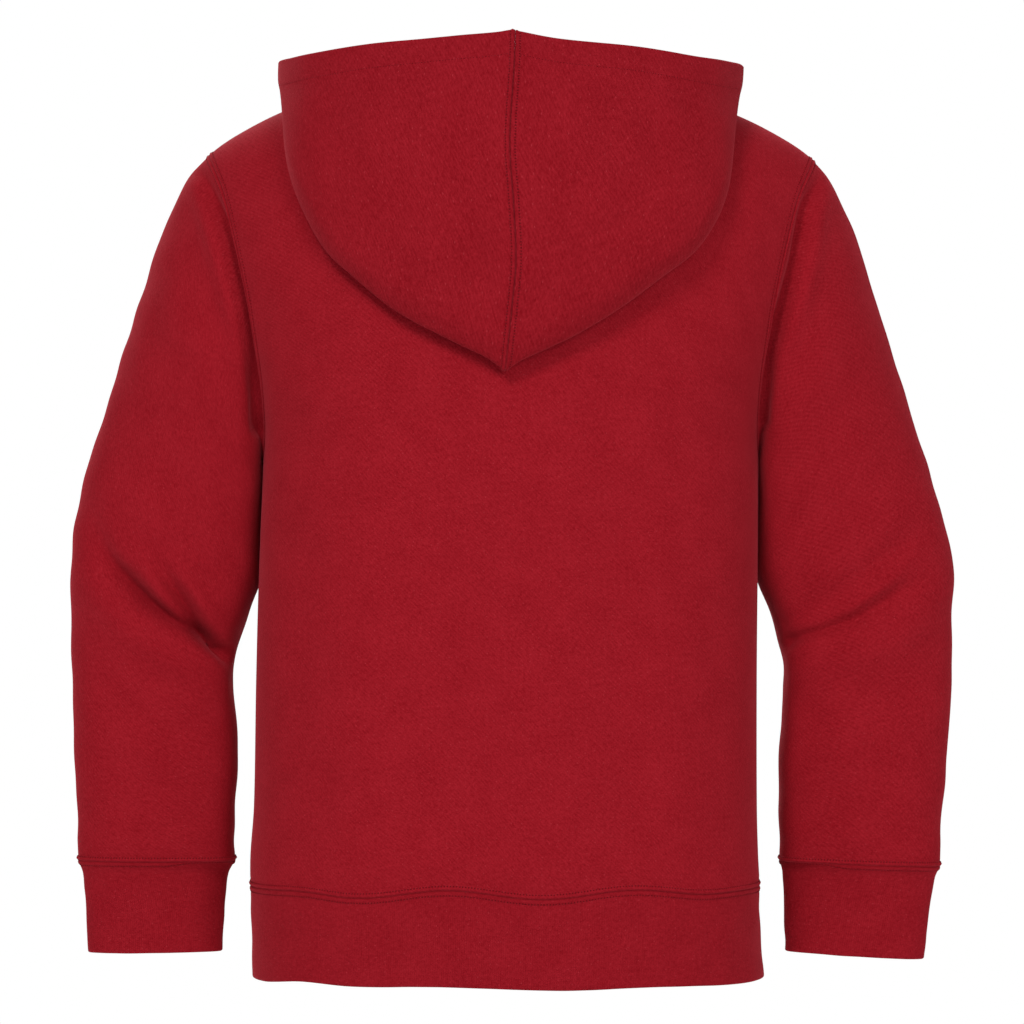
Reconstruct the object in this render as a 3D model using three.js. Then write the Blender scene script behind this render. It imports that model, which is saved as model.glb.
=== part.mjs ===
// A child's pullover hoodie in brushed fleece, filled out as when it is worn, with the hood down.
// Sizes are in millimetres. +Z is up, the front faces -Y and +X is the wearer's left.
// The origin is the middle of the neck opening, as high as the points where neck meets shoulder.
import * as THREE from "three";

// Driving sizes
const CLOTH = 2;
const RIB_CLOTH = 2.8;
const TURNED_HEM = 3.2;
const SEAM_GAP = 0.3;
const WAIST_SEAM_Z = -532;
const UNDERARM_Z = -255;
const SHOULDER_TIP = { x: 197.5, z: -54.5 };
const NECK = { halfWidth: 75, backDrop: 8, frontDrop: 66 };
const CUFF_SEAM_Z = -518.5;
const CUFF_ROWS_DOWN = [0, 8, 32, 60];
const CUFF_FORWARD = { seam: 38, lean: 0.04 };
const WAISTBAND_ROWS_DOWN = [0, 8, 34, 58.5];
const WAIST_WAVE = { height: 2.6, back: { x: -20, length: 19 }, front: { x: 10, length: 21 } };
const CHEST = { halfWidth: 162, halfDepth: 108 };
const RIGHT_SHOULDER_DROP = 3;
const YOKE_EASE = 1.8;
const HOOD_HEM = 20;
const HOOD_CORNER = 0.52;
const SEAM_INFLUENCE = 0.25;
const HOOD_ROLL = 0.3;
const HOOD_ROLL_SHARE = 0.62;
const HOOD_OFF_BACK = 4;
const STAND_TURN = { out: 0.2, up: 0.62 };
const POUCH_POWER = 2.2;
const SECTION_POWER = 2.4;
const MOST_MITRE = 2.4;
const MITRE_PASSES = 12;

// How finely each piece is divided
const COLUMNS = { neck: 6, shoulder: 6 };
const HALF_COLUMNS = COLUMNS.neck + COLUMNS.shoulder;
const ROWS = { body: 9, yoke: 12, sleeve: 21 };

const COLOUR = { fleece: 0x9a1722, rib: 0x94151f };
const CLOTH_ROUGHNESS = 0.93;

// Height of the shoulder ridge against the distance from the middle. Inside the neck it is unseen.
const SHOULDER_LINE = [
  { x: 0, z: 16 },
  { x: 40, z: 10.5 },
  { x: 75, z: 0 },
  { x: 110, z: -12 },
  { x: 150, z: -26.5 },
  { x: 180, z: -42 },
  { x: 197.5, z: -54.5 },
  { x: 235, z: -90 },
];

// Half widths of the torso, below the arms
const TORSO_SIDES = [
  { z: -590, left: 169, right: 165.5 },
  { z: -560, left: 168.8, right: 163 },
  { z: -532, left: 170.5, right: 162.8 },
  { z: -512, left: 171.5, right: 163.5 },
  { z: -480, left: 168.5, right: 161.3 },
  { z: -400, left: 166.5, right: 160.5 },
  { z: -340, left: 165, right: 161 },
  { z: -255, left: 162, right: 162 },
];

// How far the cloth reaches from the side seams' plane, in the middle of the back and the front
const TORSO_DEPTH = [
  { z: -590, back: 105, front: 106 },
  { z: -550, back: 106, front: 107 },
  { z: -532, back: 107, front: 108 },
  { z: -512, back: 110.5, front: 112 },
  { z: -460, back: 109, front: 111.5 },
  { z: -380, back: 107, front: 110 },
  { z: -255, back: 108, front: 107 },
  { z: -150, back: 109, front: 103 },
  { z: -60, back: 104, front: 95 },
  { z: 20, back: 96, front: 88 },
];

// Edge of the armhole, and how much further out the torso's section would close there
const ARMHOLE = [
  { z: -255, edge: 162, back: 0, front: 0 },
  { z: -245, edge: 160.8, back: 0.5, front: 2 },
  { z: -228, edge: 160.5, back: 1.8, front: 6 },
  { z: -200, edge: 162.5, back: 5.5, front: 10.5 },
  { z: -172, edge: 166.5, back: 10.5, front: 13.5 },
  { z: -150, edge: 170, back: 13.5, front: 15 },
  { z: -110, edge: 178.5, back: 15, front: 15 },
  { z: -80, edge: 186.5, back: 15, front: 15 },
  { z: -54.5, edge: 197.5, back: 15, front: 15 },
  { z: 20, edge: 225, back: 15, front: 15 },
];

// How the cloth rolls from the shoulder ridge down to the back and to the flatter chest
const FACES = {
  back: { out: 1, roll: { neck: 100, tip: 100 }, rise: 2, ease: 2 },
  front: { out: -1, roll: { neck: 170, tip: 115 }, rise: 1.6, ease: 1.7 },
};

// Sleeve sections from armhole to cuff: the outer and inner edge as seen from behind, the half
// depth from back to front, and how far forward the middle of the section lies
const SLEEVES = {
  left: [
    { outX: 197.5, outZ: -54.5, inX: 162, inZ: -255, half: 55, forward: 0 },
    { outX: 212.5, outZ: -70.5, inX: 167.5, inZ: -259.5, half: 58, forward: 8 },
    { outX: 225, outZ: -94, inX: 169.5, inZ: -268, half: 61, forward: 16 },
    { outX: 236.4, outZ: -124, inX: 169, inZ: -280, half: 62, forward: 22 },
    { outX: 246.8, outZ: -155, inX: 168, inZ: -296, half: 61, forward: 26 },
    { outX: 258, outZ: -191, inX: 168, inZ: -313, half: 58, forward: 28 },
    { outX: 269.1, outZ: -226.5, inX: 169, inZ: -332, half: 54, forward: 29 },
    { outX: 280.2, outZ: -261, inX: 173, inZ: -352, half: 50, forward: 29 },
    { outX: 287.7, outZ: -293, inX: 179, inZ: -371, half: 46, forward: 28 },
    { outX: 290.5, outZ: -325.3, inX: 183, inZ: -388, half: 42, forward: 27 },
    { outX: 290.6, outZ: -356.5, inX: 183, inZ: -404, half: 38, forward: 27 },
    { outX: 290.3, outZ: -389, inX: 181.4, inZ: -425, half: 35, forward: 28 },
    { outX: 288.9, outZ: -426, inX: 180.5, inZ: -451, half: 33, forward: 30 },
    { outX: 287.6, outZ: -469.7, inX: 181.7, inZ: -480, half: 30, forward: 33 },
    { outX: 286.6, outZ: -502, inX: 183.2, inZ: -504, half: 28, forward: 36 },
    { outX: 286.5, outZ: -518.5, inX: 182.4, inZ: -518.5, half: 25, forward: 38 },
  ],
  right: [
    { outX: 197.5, outZ: -54.5, inX: 162, inZ: -255, half: 55, forward: 0 },
    { outX: 210.5, outZ: -70.5, inX: 167.5, inZ: -259.5, half: 58, forward: 8 },
    { outX: 221.5, outZ: -94, inX: 169.5, inZ: -268, half: 61, forward: 16 },
    { outX: 232.4, outZ: -124, inX: 169, inZ: -280, half: 62, forward: 22 },
    { outX: 242.2, outZ: -155, inX: 168, inZ: -296, half: 61, forward: 26 },
    { outX: 254, outZ: -191, inX: 167.5, inZ: -313, half: 58, forward: 28 },
    { outX: 265.1, outZ: -226.5, inX: 168.5, inZ: -332, half: 54, forward: 29 },
    { outX: 275.7, outZ: -261, inX: 171.5, inZ: -352, half: 50, forward: 29 },
    { outX: 285.2, outZ: -293, inX: 176, inZ: -370, half: 46, forward: 28 },
    { outX: 291.5, outZ: -325.3, inX: 180.2, inZ: -389, half: 42, forward: 27 },
    { outX: 291.4, outZ: -356.5, inX: 179.8, inZ: -405, half: 38, forward: 27 },
    { outX: 290.7, outZ: -389, inX: 178.7, inZ: -425, half: 35, forward: 28 },
    { outX: 289.4, outZ: -426, inX: 177, inZ: -451, half: 33, forward: 30 },
    { outX: 287.1, outZ: -467.7, inX: 176.6, inZ: -476, half: 30, forward: 33 },
    { outX: 284.3, outZ: -502, inX: 177.8, inZ: -501, half: 28, forward: 36 },
    { outX: 284, outZ: -522.5, inX: 177.5, inZ: -518.5, half: 25, forward: 38 },
  ],
};

// Edges of the cuffs below their seams
const CUFFS = {
  left: [
    { down: 0, outX: 286.5, inX: 182.4, half: 25, tilt: 0 },
    { down: 8, outX: 283.6, inX: 186.6, half: 21, tilt: 0 },
    { down: 30, outX: 281.4, inX: 189.1, half: 18.5, tilt: 0.5 },
    { down: 60, outX: 280.1, inX: 191.1, half: 18, tilt: 1 },
  ],
  right: [
    { down: 0, outX: 284, inX: 177.5, half: 25, tilt: 4 },
    { down: 8, outX: 280.5, inX: 179.7, half: 21, tilt: 4 },
    { down: 30, outX: 277, inX: 180.5, half: 18.5, tilt: 5 },
    { down: 60, outX: 273.5, inX: 181.2, half: 18, tilt: 5.5 },
  ],
};

// The fold where the hood turns over, from the tip in the middle of the back (0) over the corner
// above the shoulder (0.52) to the middle of the front (1)
const HOOD_FOLD = [
  { at: 0, left: 3.6, right: -3.6, y: 119, z: -199 },
  { at: 0.08, left: 37, right: 33, y: 118, z: -183 },
  { at: 0.16, left: 74, right: 67, y: 114, z: -163 },
  { at: 0.24, left: 102, right: 98, y: 107, z: -139.5 },
  { at: 0.31, left: 120, right: 120, y: 101, z: -122 },
  { at: 0.38, left: 133, right: 135, y: 91, z: -94 },
  { at: 0.44, left: 144, right: 141.5, y: 75, z: -65 },
  { at: 0.48, left: 149.5, right: 147, y: 55, z: -37 },
  { at: 0.52, left: 152, right: 150.5, y: 36, z: -18 },
  { at: 0.58, left: 142, right: 141, y: 10, z: -13 },
  { at: 0.66, left: 119, right: 119, y: -19, z: -17 },
  { at: 0.75, left: 91, right: 91, y: -44, z: -25 },
  { at: 0.85, left: 58, right: 58, y: -66, z: -38 },
  { at: 0.93, left: 28, right: 28, y: -75.5, z: -47 },
  { at: 1, left: 0, right: 0, y: -78.5, z: -52 },
];
// The hood's free edge, along the same lines. Behind the corner its depth follows from the pouch.
const HOOD_RIM = [
  { at: 0, left: -2.8, right: 2.8, y: 112, z: 17.5 },
  { at: 0.08, left: 27, right: 27, y: 110, z: 14.8 },
  { at: 0.16, left: 56, right: 56, y: 104, z: 12.6 },
  { at: 0.24, left: 86, right: 85, y: 94, z: 11 },
  { at: 0.31, left: 109, right: 108, y: 80, z: 9 },
  { at: 0.38, left: 129, right: 129, y: 60, z: 7 },
  { at: 0.44, left: 142, right: 142, y: 42, z: 5.5 },
  { at: 0.48, left: 149.5, right: 150.5, y: 31, z: 4.6 },
  { at: 0.52, left: 152, right: 153, y: 20, z: 3.4 },
  { at: 0.58, left: 145, right: 145.5, y: 3, z: 3 },
  { at: 0.66, left: 127, right: 127, y: -21, z: -1 },
  { at: 0.75, left: 100, right: 100, y: -46, z: -9 },
  { at: 0.85, left: 64, right: 64, y: -70, z: -20 },
  { at: 0.93, left: 32, right: 32, y: -81.5, z: -30 },
  { at: 1, left: 0, right: 0, y: -85.5, z: -38 },
];
// How far back the outer layer of the hood reaches in the middle
const HOOD_MIDDLE = [
  { z: -199, y: 119 },
  { z: -196, y: 123.5 },
  { z: -190, y: 127 },
  { z: -178, y: 130.5 },
  { z: -155, y: 135 },
  { z: -125, y: 139 },
  { z: -90, y: 141 },
  { z: -50, y: 138 },
  { z: -15, y: 129 },
  { z: 18, y: 112 },
];
// Where the neck stand of the hood turns over: how far out and up from the neck seam
const HOOD_STAND = [
  { at: 0, out: 9, up: 14 },
  { at: 0.5, out: 9, up: 12 },
  { at: 0.75, out: 5, up: 9 },
  { at: 1, out: 3, up: 7 },
];
// Shares of the way at which the hood has points, from stand to fold and from fold to rim
const HOOD_INNER = [0.17, 0.34, 0.52, 0.7, 0.84, 0.94];
const HOOD_OUTER = [0.08, 0.2, 0.35, 0.52, 0.73];
const HOOD_FOLD_ROW = 3 + HOOD_INNER.length;
// The middle seam of the hood wanders a little from side to side
const HOOD_SEAM = [
  { z: -199, x: 3.6 },
  { z: -180, x: 1.5 },
  { z: -140, x: -2.5 },
  { z: -118, x: -3.4 },
  { z: -70, x: 0.3 },
  { z: -50, x: 0.5 },
  { z: -15, x: -1.8 },
  { z: 17, x: -2.8 },
];

// Folds in the cloth, each a soft trough (depth below 0) or ridge along a bowed line that is
// given as it lies when looked at from straight behind or in front
const BACK_FOLDS = [
  { fromX: 42, fromZ: -215, toX: 46, toZ: -545, bow: 4, width: 26, depth: -3 },
  { fromX: -16, fromZ: -230, toX: -20, toZ: -545, bow: -5, width: 30, depth: 2.4 },
  { fromX: -74, fromZ: -260, toX: -72, toZ: -545, bow: 4, width: 20, depth: -2.2 },
  { fromX: 92, fromZ: -240, toX: 96, toZ: -545, bow: 4, width: 24, depth: 2.2 },
  { fromX: 118, fromZ: -250, toX: 150, toZ: -205, bow: -4, width: 10, depth: -1.6 },
  { fromX: -118, fromZ: -258, toX: -150, toZ: -208, bow: 4, width: 10, depth: -1.6 },
];
const FRONT_FOLDS = [
  { fromX: 52, fromZ: -190, toX: 66, toZ: -545, bow: -5, width: 26, depth: -3 },
  { fromX: 0, fromZ: -200, toX: 8, toZ: -545, bow: 5, width: 28, depth: 2.2 },
  { fromX: -58, fromZ: -215, toX: -50, toZ: -545, bow: 5, width: 24, depth: -2.8 },
  { fromX: 105, fromZ: -250, toX: 148, toZ: -190, bow: -5, width: 12, depth: -2.4 },
  { fromX: -105, fromZ: -255, toX: -148, toZ: -192, bow: 5, width: 12, depth: -2.4 },
];
const SLEEVE_FOLDS = {
  left: {
    back: [
      { fromX: 180, fromZ: -386, toX: 281, toZ: -296, bow: -12, width: 8.5, depth: -11 },
      { fromX: 183, fromZ: -404, toX: 280, toZ: -324, bow: -12, width: 11, depth: 4 },
      { fromX: 190, fromZ: -377, toX: 236, toZ: -322, bow: -3, width: 8, depth: -6 },
      { fromX: 190, fromZ: -128, toX: 180, toZ: -215, bow: 2, width: 9, depth: -4 },
    ],
    front: [
      { fromX: 178, fromZ: -388, toX: 276, toZ: -330, bow: -9, width: 11, depth: -8 },
      { fromX: 176, fromZ: -360, toX: 252, toZ: -300, bow: -6, width: 12, depth: -6 },
      { fromX: 196, fromZ: -150, toX: 186, toZ: -235, bow: 3, width: 12, depth: -5 },
    ],
  },
  right: {
    back: [
      { fromX: -176, fromZ: -376, toX: -284, toZ: -296, bow: 17, width: 10, depth: -8 },
      { fromX: -177, fromZ: -395, toX: -284, toZ: -322, bow: 17, width: 12, depth: 3.5 },
      { fromX: -200, fromZ: -358, toX: -262, toZ: -296, bow: 6, width: 11, depth: -4 },
      { fromX: -190, fromZ: -128, toX: -181, toZ: -225, bow: -2, width: 9, depth: -5 },
    ],
    front: [
      { fromX: -174, fromZ: -382, toX: -278, toZ: -318, bow: 11, width: 11, depth: -8 },
      { fromX: -174, fromZ: -352, toX: -250, toZ: -288, bow: 7, width: 12, depth: -5.5 },
      { fromX: -196, fromZ: -152, toX: -186, toZ: -232, bow: -3, width: 12, depth: -5 },
    ],
  },
};
const HOOD_FOLDS = [
  { fromX: 118, fromZ: -20, toX: 92, toZ: -62, bow: 4, width: 16, depth: -3 },
  { fromX: 30, fromZ: -96, toX: 20, toZ: -176, bow: -4, width: 10, depth: -3.2 },
  { fromX: 62, fromZ: -70, toX: 46, toZ: -160, bow: 5, width: 15, depth: 2 },
  { fromX: -46, fromZ: -20, toX: -30, toZ: -70, bow: 3, width: 16, depth: 2 },
  { fromX: -96, fromZ: -30, toX: -70, toZ: -120, bow: -6, width: 18, depth: -2 },
];

const { lerp, smoothstep } = THREE.MathUtils;
const vector = (x, y, z) => new THREE.Vector3(x, y, z);

// One column of a table, read at a place between its rows on a smooth curve through them
function read(table, column, at, key = "z") {
  const last = table.length - 1;
  const slope = (i) => {
    const low = table[Math.max(i - 1, 0)];
    const high = table[Math.min(i + 1, last)];
    return (high[column] - low[column]) / (high[key] - low[key]);
  };
  const place = THREE.MathUtils.clamp(at, table[0][key], table[last][key]);
  let i = 0;
  while (i < last - 1 && table[i + 1][key] < place) i += 1;
  const step = table[i + 1][key] - table[i][key];
  const t = (place - table[i][key]) / step;
  const rise = table[i + 1][column] - table[i][column];
  const bend = (1 - t) * (slope(i) * step - rise) - t * (slope(i + 1) * step - rise);
  return table[i][column] + rise * t + t * (1 - t) * bend;
}

const sideOf = (x) => (x < 0 ? "right" : "left");

// Half width at which the torso's section closes
function bodyReach(face, side, z) {
  if (z < UNDERARM_Z) return read(TORSO_SIDES, side, z);
  return read(ARMHOLE, "edge", z) + read(ARMHOLE, face, z);
}

// How far the cloth of the back or the front lies from the plane of the side seams
function bodyDepth(face, x, z) {
  const { roll, rise, ease } = FACES[face];
  const outward = smoothstep(Math.abs(x), NECK.halfWidth, SHOULDER_TIP.x);
  const rollHeight = lerp(roll.neck, roll.tip, outward);
  const below = (read(SHOULDER_LINE, "z", Math.abs(x), "x") - z) / rollHeight;
  if (below <= 0) return 0;
  const rolled = below >= 1 ? 1 : (1 - (1 - below) ** rise) ** (1 / ease);
  const across = Math.min(Math.abs(x) / bodyReach(face, sideOf(x), z), 1);
  const round = (1 - across ** SECTION_POWER) ** (1 / SECTION_POWER);
  return read(TORSO_DEPTH, face, z) * round * rolled;
}

// Shares of the way along a curve that lie evenly spaced by its length
function evenShares(curve, count) {
  const fine = 400;
  const lengths = [0];
  for (let i = 1; i <= fine; i += 1) {
    lengths.push(lengths[i - 1] + curve(i / fine).distanceTo(curve((i - 1) / fine)));
  }
  const shares = [];
  for (let k = 0, i = 0; k <= count; k += 1) {
    while (i < fine && lengths[i] < (lengths[fine] * k) / count) i += 1;
    shares.push(i / fine);
  }
  return shares;
}

// A quarter of the torso's section, from the middle (0) to the side (1), as shares of its sizes
function quarter(share) {
  const angle = (share * Math.PI) / 2;
  const power = 2 / SECTION_POWER;
  return { across: Math.sin(angle) ** power, deep: Math.cos(angle) ** power };
}

const SECTION = evenShares((share) => {
  const { across, deep } = quarter(share);
  return vector(across * CHEST.halfWidth, deep * CHEST.halfDepth, 0);
}, HALF_COLUMNS).map(quarter);

// A point of the armhole's edge, from the underarm (0) to the shoulder tip (1)
function armholeEdge(face, share) {
  const z = lerp(UNDERARM_Z, SHOULDER_TIP.z, share);
  const x = read(ARMHOLE, "edge", z);
  return vector(x, bodyDepth(face, x, z), z);
}

const ARMHOLE_SHARES = {
  back: evenShares((share) => armholeEdge("back", share), ROWS.yoke),
  front: evenShares((share) => armholeEdge("front", share), ROWS.yoke),
};

// Where a column of a panel ends, on the neckline or on the shoulder seam
function topOfColumn(face, column) {
  if (column <= COLUMNS.neck) {
    const turn = (column / COLUMNS.neck) * (Math.PI / 2);
    const drop = face === "back" ? NECK.backDrop : NECK.frontDrop;
    return { x: NECK.halfWidth * Math.sin(turn), z: -drop * Math.cos(turn) ** 2 };
  }
  const share = (column - COLUMNS.neck) / COLUMNS.shoulder;
  const x = lerp(NECK.halfWidth, SHOULDER_TIP.x, share);
  return { x, z: read(SHOULDER_LINE, "z", x, "x") };
}

// The waist seam dips and rises a little as it goes round
function waistSeamZ(x, face) {
  const wave = Math.cos((x - WAIST_WAVE[face].x) / WAIST_WAVE[face].length);
  const inward = smoothstep(CHEST.halfWidth - Math.abs(x), 0, 60);
  return WAIST_SEAM_Z - WAIST_WAVE.height * wave * inward;
}

// A point of the back or front: column 0 is the middle, row 0 the waist seam
function bodyPoint(face, side, column, row) {
  const { out } = FACES[face];
  const sign = side === "left" ? 1 : -1;
  if (row <= ROWS.body) {
    const share = row / ROWS.body;
    const seamX = sign * SECTION[column].across * read(TORSO_SIDES, side, WAIST_SEAM_Z);
    const z = lerp(waistSeamZ(seamX, face), UNDERARM_Z, share);
    const x = sign * SECTION[column].across * read(TORSO_SIDES, side, z);
    return vector(x, out * SECTION[column].deep * read(TORSO_DEPTH, face, z), z);
  }
  const rise = (row - ROWS.body) / ROWS.yoke;
  const middle = 1 - (1 - rise) ** YOKE_EASE;
  const edge = ARMHOLE_SHARES[face][row - ROWS.body];
  const share = lerp(middle, edge, (column / HALF_COLUMNS) ** 2);
  const top = topOfColumn(face, column);
  const z = lerp(UNDERARM_Z, top.z, share);
  const edgeX = read(ARMHOLE, "edge", lerp(UNDERARM_Z, SHOULDER_TIP.z, share));
  const spread = lerp(SECTION[column].across, top.x / SHOULDER_TIP.x, share);
  const x = edgeX * spread;
  const drop = side === "left" ? 0 : RIGHT_SHOULDER_DROP * smoothstep(x, NECK.halfWidth, 150);
  const lowered = z - drop * smoothstep(z, -130, SHOULDER_TIP.z);
  return vector(sign * x, out * bodyDepth(face, x, z), lowered);
}

// A grid of cells, each with a point on the cloth's outer face
const cell = (point) => ({ point, normal: null });

// Sets the outward normal of each cell
function faceOut(grid, outside, closed) {
  const rows = grid.length;
  const columns = grid[0].length;
  const across = (row, column) =>
    closed ? row[(column + columns) % columns] : row[THREE.MathUtils.clamp(column, 0, columns - 1)];
  for (let r = 0; r < rows; r += 1) {
    for (let c = 0; c < columns; c += 1) {
      const along = across(grid[r], c + 1).point.clone().sub(across(grid[r], c - 1).point);
      const up = grid[Math.min(r + 1, rows - 1)][c].point.clone();
      up.sub(grid[Math.max(r - 1, 0)][c].point);
      grid[r][c].normal = along.cross(up).multiplyScalar(outside).normalize();
    }
  }
}

// How close a point lies to a fold's bowed line, seen along Y, from 0 (far) to 1 (on it)
function onFold(fold, x, z) {
  const along = new THREE.Vector2(fold.toX - fold.fromX, fold.toZ - fold.fromZ);
  const length = along.length();
  along.normalize();
  const fromStart = new THREE.Vector2(x - fold.fromX, z - fold.fromZ);
  const share = fromStart.dot(along) / length;
  const inside = THREE.MathUtils.clamp(share, 0, 1);
  const bow = fold.bow * 4 * inside * (1 - inside);
  const aside = fromStart.cross(along) + bow;
  const past = Math.max(0, share - 1, -share) * length;
  const fade = Math.min(1, 0.35 + 2.6 * inside * (1 - inside));
  return fade * Math.exp(-(aside ** 2 + past ** 2) / fold.width ** 2);
}

// Presses the folds of one face, 1 for the back and -1 for the front, into the cloth
function crease(grid, folds, face, strength) {
  grid.forEach((row, r) =>
    row.forEach(({ point, normal }, c) => {
      const facing = smoothstep(normal.y * face, 0.05, 0.5) * strength(r, c);
      if (facing === 0) return;
      const shift = folds.reduce((sum, f) => sum + f.depth * onFold(f, point.x, point.z), 0);
      point.addScaledVector(normal, shift * facing);
    }),
  );
}

// The cells on the free or sewn edges of a grid, each with the way from there into the piece
function edgeCells(grid, closed) {
  const top = grid.length - 1;
  const end = grid[0].length - 1;
  const edges = [];
  const toward = (from, to) => to.point.clone().sub(from.point).normalize();
  grid.forEach((row, r) =>
    row.forEach((target, c) => {
      const inward = vector(0, 0, 0);
      if (r === 0) inward.add(toward(target, grid[1][c]));
      if (r === top) inward.add(toward(target, grid[top - 1][c]));
      if (c === 0 && !closed) inward.add(toward(target, row[1]));
      if (c === end && !closed) inward.add(toward(target, row[end - 1]));
      if (inward.lengthSq() > 0) edges.push({ target, inward });
    }),
  );
  return edges;
}

// The offset that keeps the wall's thickness on each of several faces that meet at an angle
function mitreOf(normals) {
  const mitre = vector(0, 0, 0);
  for (let pass = 0; pass < MITRE_PASSES; pass += 1) {
    normals.forEach((normal) => mitre.addScaledVector(normal, 1 - mitre.dot(normal)));
  }
  return mitre.clampLength(1, MOST_MITRE);
}

// Gives a row along a sharp fold the mitred offset of the cloth before and after it
function mitreRow(grid, r, outside) {
  const row = grid[r];
  row.forEach((target, c) => {
    const before = row[Math.max(c - 1, 0)].point;
    const along = row[Math.min(c + 1, row.length - 1)].point.clone().sub(before);
    const facing = (from, to) => {
      const up = to.point.clone().sub(from.point);
      return along.clone().cross(up).multiplyScalar(outside).normalize();
    };
    target.normal = mitreOf([facing(grid[r - 1][c], target), facing(target, grid[r + 1][c])]);
  });
}

// Where edges of two or three pieces meet, their walls get one mitred face and a narrow gap
function sew(edges) {
  const places = new Map();
  for (const edge of edges) {
    const { x, y, z } = edge.target.point;
    const place = [x, y, z].map((v) => Math.round(v * 1000)).join(" ");
    places.set(place, [...(places.get(place) ?? []), edge]);
  }
  for (const meeting of places.values()) {
    if (meeting.length === 1) continue;
    const mitre = mitreOf(meeting.map(({ target }) => target.normal));
    meeting.forEach(({ target, inward }) => {
      const across = inward.projectOnPlane(mitre.clone().normalize()).setLength(SEAM_GAP / 2);
      target.point.add(across);
      target.normal = mitre;
    });
  }
}

// Closed solid of a wall under a grid of outer points: outer face, inner face and the rims
function wall({ name, grid, thickness, outside, closed = false, colour }) {
  const rows = grid.length;
  const columns = grid[0].length;
  const points = [];
  const faces = [];
  grid.forEach((row) => row.forEach(({ point }) => points.push(point)));
  grid.forEach((row, r) =>
    row.forEach(({ point, normal }) =>
      points.push(point.clone().addScaledVector(normal, -thickness(r))),
    ),
  );
  const outer = (r, c) => r * columns + (c % columns);
  const inner = (r, c) => rows * columns + outer(r, c);
  const apart = (a, b) => points[a].distanceTo(points[b]);
  const quad = (a, b, c, d) => {
    const halves = apart(a, c) <= apart(b, d) ? [a, b, c, a, c, d] : [a, b, d, b, c, d];
    faces.push(...(outside > 0 ? halves : halves.reverse()));
  };
  const spans = closed ? columns : columns - 1;
  for (let c = 0; c < spans; c += 1) {
    for (let r = 0; r < rows - 1; r += 1) {
      quad(outer(r, c), outer(r, c + 1), outer(r + 1, c + 1), outer(r + 1, c));
      quad(inner(r, c), inner(r + 1, c), inner(r + 1, c + 1), inner(r, c + 1));
    }
    const top = rows - 1;
    quad(outer(0, c), inner(0, c), inner(0, c + 1), outer(0, c + 1));
    quad(outer(top, c), outer(top, c + 1), inner(top, c + 1), inner(top, c));
  }
  const end = columns - 1;
  for (let r = 0; r < rows - 1 && !closed; r += 1) {
    quad(outer(r, 0), outer(r + 1, 0), inner(r + 1, 0), inner(r, 0));
    quad(outer(r, end), inner(r, end), inner(r + 1, end), outer(r + 1, end));
  }
  const geometry = new THREE.BufferGeometry().setFromPoints(points);
  geometry.setIndex(faces);
  geometry.computeVertexNormals();
  const finish = { color: colour, roughness: CLOTH_ROUGHNESS, metalness: 0 };
  const mesh = new THREE.Mesh(geometry, new THREE.MeshStandardMaterial(finish));
  mesh.name = name;
  return mesh;
}

// The back or front, as rows from waist to shoulder, each from the right side to the left
function bodyGrid(face, folds) {
  const grid = [];
  for (let row = 0; row <= ROWS.body + ROWS.yoke; row += 1) {
    const right = [];
    const left = [];
    for (let column = 0; column <= HALF_COLUMNS; column += 1) {
      if (column > 0) right.unshift(cell(bodyPoint(face, "right", column, row)));
      left.push(cell(bodyPoint(face, "left", column, row)));
    }
    grid.push([...right, ...left]);
  }
  const { out } = FACES[face];
  faceOut(grid, -out, false);
  crease(grid, folds, out, (r) => smoothstep(ROWS.body + ROWS.yoke - r, 1, 5));
  faceOut(grid, -out, false);
  return grid;
}

// The armhole as one loop: shoulder tip, down the back, underarm, up the front
function armholeLoop(back, front, side) {
  const column = side === "left" ? 2 * HALF_COLUMNS : 0;
  const rows = [];
  for (let r = ROWS.body + ROWS.yoke; r >= ROWS.body; r -= 1) rows.push(back[r][column]);
  for (let r = ROWS.body + 1; r < ROWS.body + ROWS.yoke; r += 1) rows.push(front[r][column]);
  return rows;
}

// Sleeve sections pass from the armhole's own loop to plain ovals
function sleeveGrid(side, loop) {
  const sign = side === "left" ? 1 : -1;
  const table = SLEEVES[side].map((station, i) => ({ ...station, at: i }));
  const last = table.length - 1;
  const count = loop.length;
  const grid = [];
  for (let r = 0; r <= ROWS.sleeve; r += 1) {
    const at = (r / ROWS.sleeve) * last;
    const get = (column) => read(table, column, at, "at");
    const outEdge = vector(sign * get("outX"), -get("forward"), get("outZ"));
    const inEdge = vector(sign * get("inX"), -get("forward"), get("inZ"));
    const middle = outEdge.clone().lerp(inEdge, 0.5);
    const reach = outEdge.clone().sub(middle);
    const own = smoothstep(at, 0, 3.2);
    grid.push(
      loop.map((start, i) => {
        const turn = (2 * Math.PI * i) / count;
        const oval = middle.clone().addScaledVector(reach, Math.cos(turn));
        oval.y += get("half") * Math.sin(turn);
        const moved = (column) => get(column) - table[0][column];
        const outward = (1 + Math.cos(turn)) / 2;
        const carried = start.point.clone();
        carried.x += sign * lerp(moved("inX"), moved("outX"), outward);
        carried.y -= get("forward");
        carried.z += lerp(moved("inZ"), moved("outZ"), outward);
        return cell(carried.lerp(oval, own));
      }),
    );
  }
  const outside = -sign;
  faceOut(grid, outside, true);
  const strength = (r) => smoothstep(r, 0, 3) * smoothstep(ROWS.sleeve - r, 0, 2);
  crease(grid, SLEEVE_FOLDS[side].back, 1, strength);
  crease(grid, SLEEVE_FOLDS[side].front, -1, strength);
  faceOut(grid, outside, true);
  return grid;
}

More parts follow.
